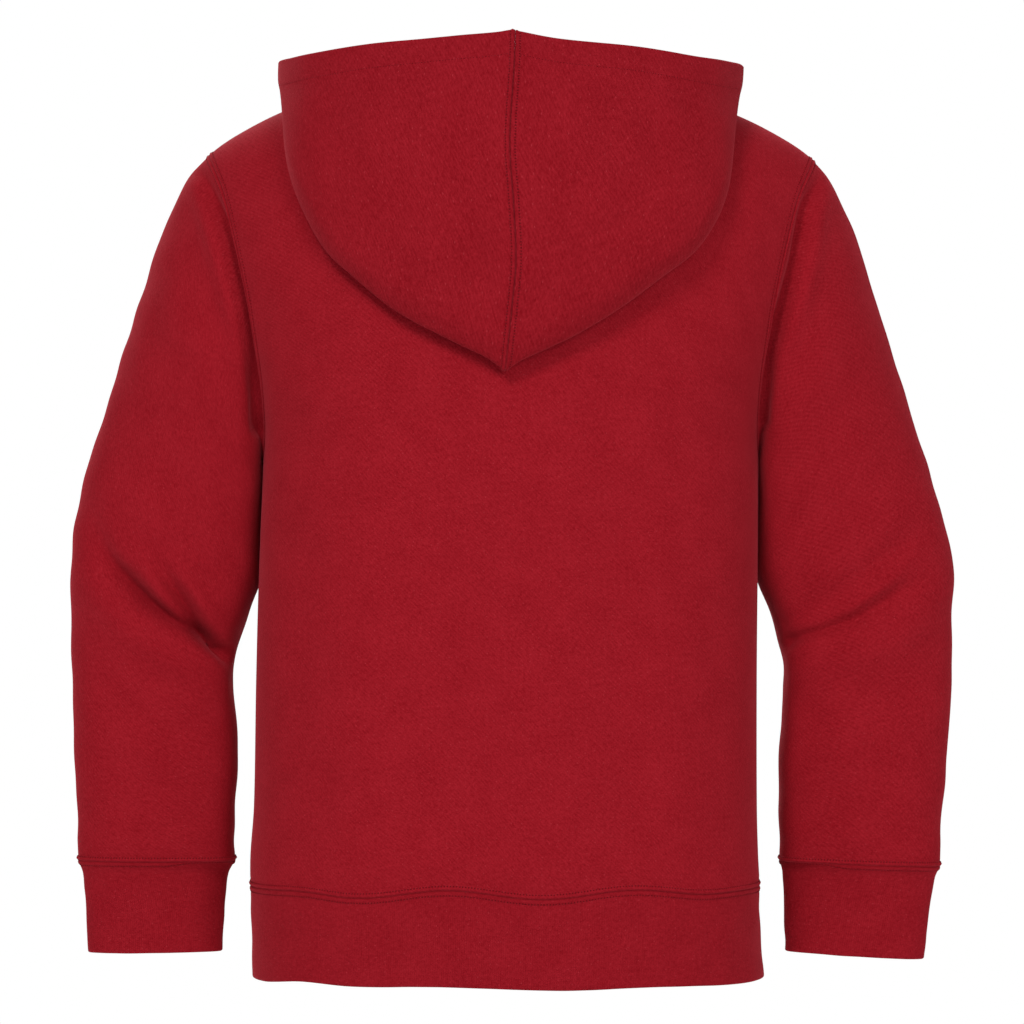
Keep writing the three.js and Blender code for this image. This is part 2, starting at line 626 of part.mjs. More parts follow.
function cuffGrid(side, seam) {
  const sign = side === "left" ? 1 : -1;
  const grid = [];
  CUFF_ROWS_DOWN.forEach((down, r) => {
    const get = (column) => read(CUFFS[side], column, down, "down");
    const middle = (get("outX") + get("inX")) / 2;
    const reach = (get("outX") - get("inX")) / 2;
    grid.push(
      seam.map((start, i) => {
        if (r === 0) return cell(start.point.clone());
        const turn = (2 * Math.PI * i) / seam.length;
        const x = sign * (middle + reach * Math.cos(turn));
        const forward = CUFF_FORWARD.seam + CUFF_FORWARD.lean * down;
        const y = get("half") * Math.sin(turn) - forward;
        const z = CUFF_SEAM_Z - down - (get("tilt") * (1 + Math.cos(turn))) / 2;
        return cell(vector(x, y, z));
      }),
    );
  });
  faceOut(grid, -sign, true);
  return grid;
}

// The waistband hangs from the waist seam all the way round
function waistbandGrid(back, front) {
  const seam = [...back[0], ...front[0].slice(1, -1).reverse()];
  const faces = seam.map((_, i) => (i <= 2 * HALF_COLUMNS ? "back" : "front"));
  const length = WAISTBAND_ROWS_DOWN.at(-1);
  const grid = WAISTBAND_ROWS_DOWN.map((down, r) =>
    seam.map(({ point }, i) => {
      if (r === 0) return cell(point.clone());
      const z = WAIST_SEAM_Z - down;
      const side = sideOf(point.x);
      const wide = read(TORSO_SIDES, side, z) / read(TORSO_SIDES, side, WAIST_SEAM_Z);
      const deep = read(TORSO_DEPTH, faces[i], z) / read(TORSO_DEPTH, faces[i], WAIST_SEAM_Z);
      const lower = lerp(point.z, WAIST_SEAM_Z - length, down / length);
      return cell(vector(point.x * wide, point.y * deep, lower));
    }),
  );
  faceOut(grid, 1, true);
  return grid;
}

// Neckline of one side, from the middle of the back to the middle of the front
function necklinePoints(back, front, side) {
  const sign = side === "left" ? 1 : -1;
  const at = (grid, column) => grid[grid.length - 1][HALF_COLUMNS + sign * column].point;
  const seam = [];
  for (let column = 0; column < COLUMNS.neck; column += 1) seam.push(at(back, column));
  for (let column = COLUMNS.neck; column >= 0; column -= 1) seam.push(at(front, column));
  const points = [seam[0].clone()];
  for (let i = 1; i < seam.length; i += 1) {
    points.push(seam[i - 1].clone().lerp(seam[i], 0.5), seam[i].clone());
  }
  return points;
}

const POUCH_EDGE = HOOD_FOLD.filter(({ at }) => at <= HOOD_CORNER);
POUCH_EDGE.push(HOOD_RIM.find(({ at }) => at === HOOD_CORNER));

// How far back the outer layer of the pouch lies at a place seen from behind
function pouchDepth(side, x, z) {
  const sign = side === "left" ? 1 : -1;
  const seam = read(HOOD_SEAM, "x", z);
  const edge = read(POUCH_EDGE, "y", z);
  const reach = sign * read(POUCH_EDGE, side, z) - seam;
  const share = THREE.MathUtils.clamp((x - seam) / reach, 0, 1);
  return edge + (read(HOOD_MIDDLE, "y", z) - edge) * Math.sqrt(1 - share ** POUCH_POWER);
}

// How far the middle seam strays from the straight line between the hood's tip and its rim
function seamShift(z) {
  const [tip, rim] = [HOOD_FOLD[0], HOOD_RIM[0]];
  const straight = lerp(tip.left, rim.left, (z - tip.z) / (rim.z - tip.z));
  return read(HOOD_SEAM, "x", z) - straight;
}

// One line of the hood from its neck seam down to the fold and up to the rim
function hoodLine(side, at, start) {
  const sign = side === "left" ? 1 : -1;
  const get = (table, column) => read(table, column, at, "at");
  const from = (table) => vector(sign * get(table, side), get(table, "y"), get(table, "z"));
  const fold = from(HOOD_FOLD);
  const rim = from(HOOD_RIM);
  const overBack = 1 - smoothstep(at, 0.36, 0.48);
  const inPouch = 1 - smoothstep(at, HOOD_CORNER - 0.14, HOOD_CORNER + 0.06);
  const outward = vector(start.x, start.y, 0).normalize();
  const reach = get(HOOD_STAND, "out");
  const up = vector(0, 0, get(HOOD_STAND, "up"));
  const crest = start.clone().addScaledVector(outward, reach).add(up);
  const stand = start.clone().addScaledVector(outward, reach * STAND_TURN.out);
  stand.addScaledVector(up, STAND_TURN.up);
  const middle = crest.clone().lerp(rim, 0.5);
  const pull = fold.clone().addScaledVector(fold.clone().sub(middle), HOOD_ROLL);
  const roll = new THREE.QuadraticBezierCurve3(crest, pull, rim);
  const inner = HOOD_INNER.map((share) => {
    const point = crest.clone().lerp(fold, share);
    const turnUp = 1 - Math.sqrt(1 - share ** 4);
    const straight = lerp(point.y, lerp(crest.y, fold.y, turnUp), overBack);
    const clear = bodyDepth("back", point.x, point.z - HOOD_OFF_BACK) + HOOD_OFF_BACK;
    const onBack = lerp(clear, fold.y, turnUp);
    const blend = Math.hypot(onBack - straight, HOOD_OFF_BACK);
    point.y = lerp(straight, (onBack + straight + blend) / 2, overBack);
    if (point.y > 0 && clear > HOOD_OFF_BACK) point.y = Math.max(point.y, clear);
    return roll.getPoint(share * HOOD_ROLL_SHARE).lerp(point, inPouch);
  });
  const length = fold.distanceTo(rim);
  const hem = 1 - Math.min(HOOD_HEM / length, 0.5);
  const evenly = smoothstep(at, 0.26, 0.42);
  const steps = HOOD_OUTER.map((share, i) => {
    const even = (i + 1) / (HOOD_OUTER.length + 1);
    return hem * lerp(share, even, evenly);
  });
  const outer = [...steps, hem, 1].map((share) => {
    const point = fold.clone().lerp(rim, share);
    point.x += seamShift(point.z) * (1 - smoothstep(at, 0, SEAM_INFLUENCE));
    point.y = pouchDepth(side, point.x, point.z);
    return roll.getPoint(lerp(HOOD_ROLL_SHARE, 1, share)).lerp(point, inPouch);
  });
  const turn = roll.getPoint(HOOD_ROLL_SHARE).lerp(fold, inPouch);
  return [start.clone(), stand, crest, ...inner, turn, ...outer];
}

function hoodGrid(side, neckline) {
  const sign = side === "left" ? 1 : -1;
  const last = neckline.length - 1;
  const lines = neckline.map((start, i) => hoodLine(side, i / last, start));
  const grid = lines[0].map((_, r) => lines.map((line) => cell(line[r])));
  faceOut(grid, -sign, false);
  const strength = (r, c) => {
    const pastFold = smoothstep(r, HOOD_FOLD_ROW + 1, HOOD_FOLD_ROW + 4);
    return pastFold * smoothstep(grid.length - r, 2, 4) * smoothstep(c, 0, 2);
  };
  crease(grid, HOOD_FOLDS, 1, strength);
  faceOut(grid, -sign, false);
  mitreRow(grid, HOOD_FOLD_ROW, -sign);
  return grid;
}

// Points of the hood's neck seam that lie between those of the panels follow their neighbours
function evenNeckSeam(row) {
  for (let c = 1; c < row.length; c += 2) {
    const [before, target, after] = [row[c - 1], row[c], row[c + 1]];
    target.point = before.point.clone().lerp(after.point, 0.5);
    target.normal = before.normal.clone().lerp(after.normal, 0.5);
  }
}

function hoodie() {
  const back = bodyGrid("back", BACK_FOLDS);
  const front = bodyGrid("front", FRONT_FOLDS);
  const fleece = { thickness: () => CLOTH, colour: COLOUR.fleece };
  const rib = { thickness: () => RIB_CLOTH, colour: COLOUR.rib, closed: true };
  const pieces = [
    { name: "back_panel", grid: back, outside: -1, ...fleece },
    { name: "front_panel", grid: front, outside: 1, ...fleece },
    { name: "waistband", grid: waistbandGrid(back, front), outside: 1, ...rib },
  ];
  for (const side of ["left", "right"]) {
    const sign = side === "left" ? 1 : -1;
    const sleeve = sleeveGrid(side, armholeLoop(back, front, side));
    const cuff = cuffGrid(side, sleeve[ROWS.sleeve]);
    const hood = hoodGrid(side, necklinePoints(back, front, side));
    const thickness = (r) => (r >= hood.length - 2 ? TURNED_HEM : CLOTH);
    pieces.push({ name: `sleeve_${side}`, grid: sleeve, outside: -sign, ...fleece, closed: true });
    pieces.push({ name: `cuff_${side}`, grid: cuff, outside: -sign, ...rib });
    pieces.push({ name: `hood_${side}`, grid: hood, outside: -sign, ...fleece, thickness });
  }
  sew(pieces.flatMap(({ grid, closed }) => edgeCells(grid, closed)));
  const group = new THREE.Group();
  for (const piece of pieces) {
    if (piece.name.startsWith("hood")) evenNeckSeam(piece.grid[0]);
    group.add(wall(piece));
  }
  return group;
}

export default hoodie();
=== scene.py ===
"""Looks of a child's pullover hoodie in red brushed fleece, filled out as worn, with the hood down.

Cut sizes are in millimetres in the part's own frame: +Z is up, the front faces -Y, +X is the
wearer's left, and the origin is the middle of the neck opening. Meshes are made in metres.
"""

import logging
import math
from dataclasses import dataclass, field
from enum import Enum
from typing import Any, Iterable

import bpy
import numpy as np
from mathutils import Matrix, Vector


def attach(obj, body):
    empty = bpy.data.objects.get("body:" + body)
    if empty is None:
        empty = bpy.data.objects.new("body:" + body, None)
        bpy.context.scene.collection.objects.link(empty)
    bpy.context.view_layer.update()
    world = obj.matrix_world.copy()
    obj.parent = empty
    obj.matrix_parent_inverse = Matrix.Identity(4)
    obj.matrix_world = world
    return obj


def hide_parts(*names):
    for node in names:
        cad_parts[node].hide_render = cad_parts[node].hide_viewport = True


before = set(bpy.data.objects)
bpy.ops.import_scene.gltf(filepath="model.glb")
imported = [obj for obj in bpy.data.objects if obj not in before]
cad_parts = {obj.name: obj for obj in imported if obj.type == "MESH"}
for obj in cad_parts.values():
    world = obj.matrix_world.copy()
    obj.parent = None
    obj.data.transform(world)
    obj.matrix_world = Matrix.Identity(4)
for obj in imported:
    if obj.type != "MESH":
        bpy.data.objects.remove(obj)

Array = np.ndarray
MM = 0.001
# Rows beside a seam among which a line at a set distance from it is looked for.
FIRST_ROWS = slice(0, 14)
LAST_ROWS = slice(-14, None)
# Points closer than a hundredth of a millimetre meet. The shift keeps round values off the limit.
MEETING_SHIFT = 0.0013
# Least cosine between a piece's own normal and the one that it shares at a join.
STEEPEST_JOIN = 0.45
log = logging.getLogger("hoodie")


class Way(Enum):
    """A way along an axis, which has a column of its own in the tables."""

    @property
    def key(self) -> str:
        """Name of this one's column in the tables."""
        return self.name.lower()


class Side(Way):
    """The wearer's two sides, with the sign of X there."""

    LEFT = 1
    RIGHT = -1


class Face(Way):
    """Back and front of the garment, with the sign of Y there."""

    BACK = 1
    FRONT = -1


def lerp(start: Any, end: Any, share: Any) -> Any:
    """Value that lies the given share of the way from start to end."""
    return start + (end - start) * share


def smoothstep(value: Any, low: float, high: float) -> Any:
    """Soft step from 0 at low to 1 at high."""
    share = np.clip((np.asarray(value, float) - low) / (high - low), 0.0, 1.0)
    return share * share * (3 - 2 * share)


def unit(vectors: Array) -> Array:
    """Vectors brought to length 1."""
    return vectors / np.maximum(np.linalg.norm(vectors, axis=-1, keepdims=True), 1e-9)


def distances(points: Array, axis: int = 0) -> Array:
    """Distance of each point from the first one, along an axis of the grid."""
    steps = np.linalg.norm(np.diff(points, axis=axis), axis=-1)
    start = np.zeros_like(np.take(steps, [0], axis=axis))
    return np.concatenate([start, np.cumsum(steps, axis=axis)], axis=axis)


def graded(
    length: float, step: float, ends: tuple[bool, bool], fine: float = 1.0, band: float = 9.0
) -> Array:
    """Shares of a length for rows or columns that stand closer together near its seams.

    Args:
        length: the whole length.
        step: spacing away from the seams.
        ends: whether there is a seam at the start and at the end.
        fine: spacing near a seam.
        band: how far from a seam the fine spacing reaches.

    Returns:
        Rising shares from 0 to 1.
    """
    low, high = (band if ends[0] else 0.0), (length - band if ends[1] else length)
    middle = np.linspace(low, high, max(2, round((high - low) / step) + 1))
    near = np.linspace(0, band, round(band / fine) + 1)[:-1]
    parts = [near] if ends[0] else []
    parts.append(middle)
    if ends[1]:
        parts.append(length - near[::-1])
    return np.concatenate(parts) / length


def rounded(rows: Array, knots: Array, at: Array) -> Array:
    """Points on smooth curves through rows of points.

    Args:
        rows: the rows that the curves go through, first axis along the curves.
        knots: rising place of each row.
        at: places to read.

    Returns:
        One row of points for each place.
    """
    last = len(knots) - 1
    low = np.maximum(np.arange(last + 1) - 1, 0)
    high = np.minimum(np.arange(last + 1) + 1, last)
    shape = (-1,) + (1,) * (rows.ndim - 1)
    slopes = (rows[high] - rows[low]) / (knots[high] - knots[low]).reshape(shape)
    place = np.clip(at, knots[0], knots[-1])
    i = np.searchsorted(knots[1:last], place, side="left")
    step = (knots[i + 1] - knots[i]).reshape(shape)
    t = (place - knots[i]).reshape(shape) / step
    rise = rows[i + 1] - rows[i]
    bend = (1 - t) * (slopes[i] * step - rise) - t * (slopes[i + 1] * step - rise)
    return rows[i] + rise * t + t * (1 - t) * bend


@dataclass(frozen=True)
class Table:
    """Rows of numbers under named columns, read on a smooth curve between the rows."""

    columns: tuple[str, ...]
    rows: tuple[tuple[float, ...], ...]

    def column(self, name: str) -> Array:
        """All values of one column."""
        return np.array([row[self.columns.index(name)] for row in self.rows], float)

    def read(self, name: str, at: Any) -> Array:
        """One column's values at places given in terms of the first column."""
        place = np.asarray(at, float)
        values = rounded(self.column(name), self.column(self.columns[0]), place.ravel())
        return values.reshape(place.shape)


@dataclass(frozen=True)
class Crease:
    """A soft trough (depth below 0) or ridge along a line seen from straight behind or in front."""

    line: Table

    COLUMNS = ("at", "x", "z", "width", "depth")
    BOWED_POINTS = 9
    SPANS = 24
    END_DEPTH = 0.35
    DEPTH_GAIN = 2.6

    @staticmethod
    def bowed(start: tuple, end: tuple, bow: float, width: float, depth: float) -> "Crease":
        """A crease along a bowed line that fades a little at its ends.

        Args:
            start: X and Z of its start.
            end: X and Z of its end.
            bow: how far the middle of the line stands aside.
            width: half width.
            depth: how far the cloth moves, below 0 for a trough.

        Returns:
            The crease.
        """
        way = np.array([end[0] - start[0], end[1] - start[1]])
        aside = np.array([-way[1], way[0]]) / np.linalg.norm(way)
        rows = []
        for share in np.linspace(0, 1, Crease.BOWED_POINTS):
            swell = share * (1 - share)
            x, z = np.array(start) + way * share + aside * bow * 4 * swell
            full = min(1.0, Crease.END_DEPTH + Crease.DEPTH_GAIN * swell)
            rows.append((share, x, z, width, depth * full))
        return Crease(Table(Crease.COLUMNS, tuple(rows)))

    @staticmethod
    def along(*rows: tuple[float, float, float, float]) -> "Crease":
        """A crease through rows of X, Z, half width and depth."""
        count = len(rows) - 1
        placed = tuple((i / count, *row) for i, row in enumerate(rows))
        return Crease(Table(Crease.COLUMNS, placed))

    def shift(self, x: Array, z: Array) -> Array:
        """How far this crease moves the cloth outward at places seen along Y."""
        at = np.linspace(0, 1, self.SPANS + 1)
        px, pz = self.line.read("x", at), self.line.read("z", at)
        width, depth = self.line.read("width", at), self.line.read("depth", at)
        nearest = np.full(x.shape, np.inf)
        result = np.zeros(x.shape)
        for i in range(self.SPANS):
            dx, dz = px[i + 1] - px[i], pz[i + 1] - pz[i]
            t = ((x - px[i]) * dx + (z - pz[i]) * dz) / (dx * dx + dz * dz)
            t = np.clip(t, 0, 1)
            away = (x - px[i] - t * dx) ** 2 + (z - pz[i] - t * dz) ** 2
            here = lerp(depth[i], depth[i + 1], t)
            wide = lerp(width[i], width[i + 1], t)
            closer = away < nearest
            nearest = np.where(closer, away, nearest)
            result = np.where(closer, here * np.exp(-away / wide**2), result)
        return result


@dataclass
class Cloth:
    """Points on the outer face of one cut piece, in rows up it and columns across it."""

    points: Array
    outward: int
    closed: bool = False
    middle: int = 0
    edge_normals: dict = field(default_factory=dict)

    WAVES = (0.42, 0.33, 0.25)
    WAVE_TURN = 2.4

    def neighbours(self) -> tuple[Array, Array, Array, Array]:
        """Each point's neighbours: one column back and one on, one row back and one on."""
        grid = self.points
        lower, upper = np.concatenate([grid[:1], grid[:-1]]), np.concatenate([grid[1:], grid[-1:]])
        if self.closed:
            return np.roll(grid, 1, axis=1), np.roll(grid, -1, axis=1), lower, upper
        before = np.concatenate([grid[:, :1], grid[:, :-1]], axis=1)
        after = np.concatenate([grid[:, 1:], grid[:, -1:]], axis=1)
        return before, after, lower, upper

    def normals(self) -> Array:
        """Outward normal at each point."""
        before, after, lower, upper = self.neighbours()
        return unit(np.cross(after - before, upper - lower) * self.outward)

    def lift(self, amount: Array) -> None:
        """Moves each point outward by its amount."""
        self.points = self.points + self.normals() * amount[..., None]

    def press(self, creases: Iterable[Crease], face: Face, strength: Array | float) -> Array:
        """Presses the creases of one face into the cloth.

        Args:
            creases: the creases, whose movements add up.
            face: the face of the garment that they are on.
            strength: share of the movement at each point.

        Returns:
            How far each point was pressed in, below 0 where it was raised.
        """
        facing = smoothstep(self.normals()[..., 1] * face.value, 0.05, 0.5) * strength
        x, z = self.points[..., 0], self.points[..., 2]
        moved = sum(crease.shift(x, z) for crease in creases) * facing
        self.lift(moved)
        return -moved

    def soften(self, passes: int, keep: Array) -> None:
        """Evens out small kinks.

        Args:
            passes: how many times neighbours are averaged.
            keep: share of its own place that each point keeps, 1 at the seams.
        """
        hold = keep[..., None]
        for _ in range(passes):
            self.points = lerp(sum(self.neighbours()) / 4, self.points, hold)

    def waver(self, size: float, length: float, turn: float, strength: Array | float = 1.0) -> None:
        """Gives the cloth the slight unevenness of a worn knit.

        Args:
            size: largest movement.
            length: usual length of a wave.
            turn: an angle that makes each piece differ.
            strength: share of the movement at each point.
        """
        total = np.zeros(self.points.shape[:2])
        for k, weight in enumerate(self.WAVES):
            angle = turn + self.WAVE_TURN * k
            way = np.array([math.cos(angle), math.sin(2 * angle) * 0.5, math.sin(angle)])
            other = np.array([-way[2], way[1], way[0]])
            scale = 2 * math.pi / (length * (1 - 0.22 * k))
            drift = 1.3 * np.sin(self.points @ other * scale * 0.61 + angle)
            total += weight * np.sin(self.points @ way * scale + drift + 3 * angle)
        self.lift(total * size * strength)

    def area(self) -> float:
        """Area of the outer face, in square millimetres."""
        across = self.neighbours()[1] - self.points
        along = np.diff(self.points, axis=0)
        cells = np.linalg.norm(np.cross(across[:-1], along), axis=-1)
        return float(cells.sum() if self.closed else cells[:, :-1].sum())

    def from_start(self) -> Array:
        """Distance of each point from row 0, along its column."""
        return distances(self.points)

    def from_end(self) -> Array:
        """Distance of each point from the last row, along its column."""
        run = self.from_start()
        return run[-1] - run

    def from_column(self, first: bool) -> Array:
        """Distance of each point from the first or last column, along its row."""
        run = distances(self.points, 1)
        return run if first else run[:, -1:] - run

    def path_at(self, away: Array, distance: float, rows: slice) -> tuple[Array, Array]:
        """A line on the cloth at an even distance from a row seam, with its normals.

        Args:
            away: distance of each point from that seam, monotonous along axis 0.
            distance: how far from the seam the line lies.
            rows: rows that are searched.

        Returns:
            Points and outward normals, one for each column.
        """
        points, normals, gaps = self.points[rows], self.normals()[rows], away[rows] - distance
        crossing = (gaps[:-1] <= 0) != (gaps[1:] <= 0)
        low = np.argmax(crossing, axis=0)
        column = np.arange(points.shape[1])
        first, second = gaps[low, column], gaps[low + 1, column]
        share = np.clip(first / np.where(first == second, 1, first - second), 0, 1)[:, None]
        path = lerp(points[low, column], points[low + 1, column], share)
        return path, unit(lerp(normals[low, column], normals[low + 1, column], share))

    def way_in(self, r: int, c: int) -> Array:
        """Direction on the cloth from an edge point into the piece."""
        rows, columns = self.points.shape[:2]
        way = np.zeros(3)
        if r in (0, rows - 1):
            way = way + unit(self.points[1 if r == 0 else r - 1, c] - self.points[r, c])
        if not self.closed and c in (0, columns - 1):
            way = way + unit(self.points[r, 1 if c == 0 else c - 1] - self.points[r, c])
        return unit(way)

    def turned(self) -> "Cloth":
        """The same cloth with rows and columns exchanged."""
        return Cloth(np.swapaxes(self.points, 0, 1), -self.outward)


@dataclass(frozen=True)
class SeamForm:
    """Cross-section of a sewn seam: a ridge over the allowance and the bite of its stitch row."""

    ridge: float = 0.75
    ridge_at: float = 1.7
    ridge_width: float = 1.15
    bite: float = 0.16
    stitch_at: float = 3.5
    bite_width: float = 0.8
    row_shade: float = 0.1
    row_width: float = 0.75
    centre_shade: float = 0.5
    centre_width: float = 0.6

    def profile(self, away: Array) -> Array:
        """How far the cloth stands out at a distance from the seam."""
        ridge = self.ridge * np.exp(-(((away - self.ridge_at) / self.ridge_width) ** 2))
        rest = self.ridge * math.exp(-((self.ridge_at / self.ridge_width) ** 2))
        bite = self.bite * np.exp(-(((away - self.stitch_at) / self.bite_width) ** 2))
        return ridge - rest * np.exp(-(away**2)) - bite

    def shade(self, away: Array) -> Array:
        """How much the seam's grooves are shaded, from 0 to 1."""
        stitched = np.exp(-(((away - self.stitch_at) / self.row_width) ** 2))
        centre = self.centre_shade * np.exp(-((away / self.centre_width) ** 2))
        return np.maximum(stitched * self.row_shade, centre)


BAND_SEAM = SeamForm()
BODY_SEAM = SeamForm(ridge=1.15, ridge_at=1.7, ridge_width=1.2)
NARROW_SEAM = SeamForm(ridge=0.6, ridge_at=1.2, ridge_width=0.8)
PLAIN_SEAM = SeamForm(ridge=0.45, ridge_at=1.5, ridge_width=1.2, bite=0.0)
ARM_SEAM = SeamForm(ridge=0.8, ridge_at=1.5, ridge_width=1.1, bite=0.18, stitch_at=3.3)


@dataclass(frozen=True)
class TorsoCut:
    """Section and outline of the body, which the back, the front and all that is sewn on share."""

    waist_z: float = -532.0
    underarm_z: float = -255.0
    tip: tuple[float, float] = (197.5, -54.5)
    neck_half: float = 75.0
    neck_drop: dict = field(default_factory=lambda: {Face.BACK: 8.0, Face.FRONT: 66.0})
    wave: float = 2.6
    wave_form: dict = field(default_factory=lambda: {Face.BACK: (-20, 19), Face.FRONT: (10, 21)})
    chest: tuple[float, float] = (162.0, 108.0)
    right_drop: float = 3.0
    drop_reach: tuple[float, float] = (150.0, -130.0)
    yoke_ease: float = 1.8
    power: float = 2.4
    yoke_rows: int = 12
    shoulder_line: Table = Table(
        ("x", "z"),
        ((0, 16), (40, 10.5), (75, 0), (110, -12), (150, -26.5), (180, -42), (197.5, -54.5), (235, -90)),
    )
    sides: Table = Table(
        ("z", "left", "right"),
        (
            (-590, 169, 165.5), (-560, 169.8, 163), (-532, 170.3, 162.4), (-512, 170.2, 161.4),
            (-480, 167.9, 160.6), (-400, 166.5, 160.5), (-340, 165, 161), (-255, 162, 162),
        ),
    )
    depths: Table = Table(
        ("z", "back", "front"),
        (
            (-590, 105, 106), (-550, 106, 107), (-532, 107, 108), (-512, 110.5, 112),
            (-460, 109, 111.5), (-380, 107, 110), (-255, 108, 107), (-150, 109, 103),
            (-60, 104, 95), (20, 96, 88),
        ),
    )
    armhole: Table = Table(
        ("z", "edge", "back", "front"),
        (
            (-255, 162, 0, 0), (-245, 160.8, 0.5, 2), (-228, 160.5, 1.8, 6),
            (-200, 162.5, 5.5, 10.5), (-172, 166.5, 10.5, 13.5), (-150, 170, 13.5, 15),
            (-110, 178.5, 15, 15), (-80, 186.5, 15, 15), (-54.5, 197.5, 15, 15), (20, 225, 15, 15),
        ),
    )
    rolls: dict = field(
        default_factory=lambda: {
            Face.BACK: {"neck": 100, "tip": 100, "rise": 2.0, "ease": 2.0},
            Face.FRONT: {"neck": 170, "tip": 115, "rise": 1.6, "ease": 1.7},
        }
    )

    FINE = np.linspace(0, 1, 2001)

    def reach(self, face: Face, side: Side, z: Array) -> Array:
        """Half width at which the section closes."""
        upper = self.armhole.read("edge", z) + self.armhole.read(face.key, z)
        return np.where(z < self.underarm_z, self.sides.read(side.key, z), upper)

    def depth(self, face: Face, side: Side, x: Array, z: Array) -> Array:
        """How far the cloth lies from the plane of the side seams.

        Args:
            face: back or front.
            side: the wearer's side.
            x: distance from the middle.
            z: height.

        Returns:
            Depths, never below 0.
        """
        form = self.rolls[face]
        outward = smoothstep(x, self.neck_half, self.tip[0])
        height = lerp(form["neck"], form["tip"], outward)
        below = np.clip((self.shoulder_line.read("z", x) - z) / height, 0, 1)
        rolled = (1 - (1 - below) ** form["rise"]) ** (1 / form["ease"])
        across = np.clip(x / self.reach(face, side, z), 0, 1)
        around = (1 - across**self.power) ** (1 / self.power)
        return self.depths.read(face.key, z) * around * rolled

    def section(self, share: Array) -> tuple[Array, Array]:
        """Section at even shares of its length from the middle to the side.

        Args:
            share: shares of the way.

        Returns:
            How far across and how deep, as shares of the half width and the depth.
        """
        across, deep = self.quarter(self.FINE)
        run = self.run_of(np.stack([across * self.chest[0], deep * self.chest[1]], axis=-1))
        return self.quarter(np.interp(share, run, self.FINE))

    def quarter(self, share: Array) -> tuple[Array, Array]:
        """A quarter of the section against the share of its turn."""
        angle = share * math.pi / 2
        power = 2 / self.power
        return np.sin(angle) ** power, np.maximum(np.cos(angle), 0) ** power

    @staticmethod
    def run_of(curve: Array) -> Array:
        """Share of a curve's length at each of its points."""
        run = distances(curve)
        return run / run[-1]

    def armhole_share(self, face: Face, rise: Array) -> Array:
        """Share of the armhole's height at even shares of its length."""
        z = lerp(self.underarm_z, self.tip[1], self.FINE)
        x = self.armhole.read("edge", z)
        y = self.depth(face, Side.LEFT, x, z)
        return np.interp(rise, self.run_of(np.stack([x, y, z], axis=-1)), self.FINE)

    def top(self, face: Face, share: Array) -> tuple[Array, Array]:
        """Where a column ends, on the neckline up to share 0.5 and on the shoulder seam past it."""
        turn = np.clip(share * 2, 0, 1) * math.pi / 2
        x_neck = self.neck_half * np.sin(turn)
        z_neck = -self.neck_drop[face] * np.cos(turn) ** 2
        x_seam = lerp(self.neck_half, self.tip[0], np.clip(share * 2 - 1, 0, 1))
        z_seam = self.shoulder_line.read("z", x_seam)
        on_neck = share <= 0.5
        return np.where(on_neck, x_neck, x_seam), np.where(on_neck, z_neck, z_seam)

    def seam_z(self, face: Face, x: Array) -> Array:
        """Height of the waist seam, which dips and rises a little as it goes round."""
        middle, length = self.wave_form[face]
        inward = smoothstep(self.chest[0] - np.abs(x), 0, 60)
        return self.waist_z - self.wave * np.cos((x - middle) / length) * inward

    def half(self, face: Face, side: Side, share: Array, row: Array) -> Array:
        """Points of one half of the back or front.

        Args:
            face: back or front.
            side: the wearer's side.
            share: columns, 0 in the middle and 1 at the side.
            row: rows, 0 at the waist seam, 1 at the underarm and 2 at the shoulder.

        Returns:
            Points in rows and columns.
        """
        across, deep = self.section(share)
        seam_x = side.value * across * self.sides.read(side.key, self.waist_z)
        low = row[row <= 1][:, None]
        z = lerp(self.seam_z(face, seam_x)[None], self.underarm_z, low)
        x = across[None] * self.sides.read(side.key, z)
        y = deep[None] * self.depths.read(face.key, z)
        body = np.stack([x, y, z], axis=-1)
        rise = row[row > 1] - 1
        middle = 1 - (1 - rise) ** self.yoke_ease
        edge = self.armhole_share(face, rise)
        climb = lerp(middle[:, None], edge[:, None], share[None] ** 2)
        top_x, top_z = self.top(face, share)
        z = lerp(self.underarm_z, top_z[None], climb)
        edge_x = self.armhole.read("edge", lerp(self.underarm_z, self.tip[1], climb))
        x = edge_x * lerp(across[None], top_x[None] / self.tip[0], climb)
        y = self.depth(face, side, x, z)
        full_x, low_z = self.drop_reach
        drop = self.right_drop * smoothstep(x, self.neck_half, full_x) if side is Side.RIGHT else 0.0
        z = z - drop * smoothstep(z, low_z, self.tip[1])
        yoke = np.stack([x, y, z], axis=-1)
        points = np.concatenate([body, yoke])
        return points * np.array([side.value, face.value, 1.0])


TORSO = TorsoCut()


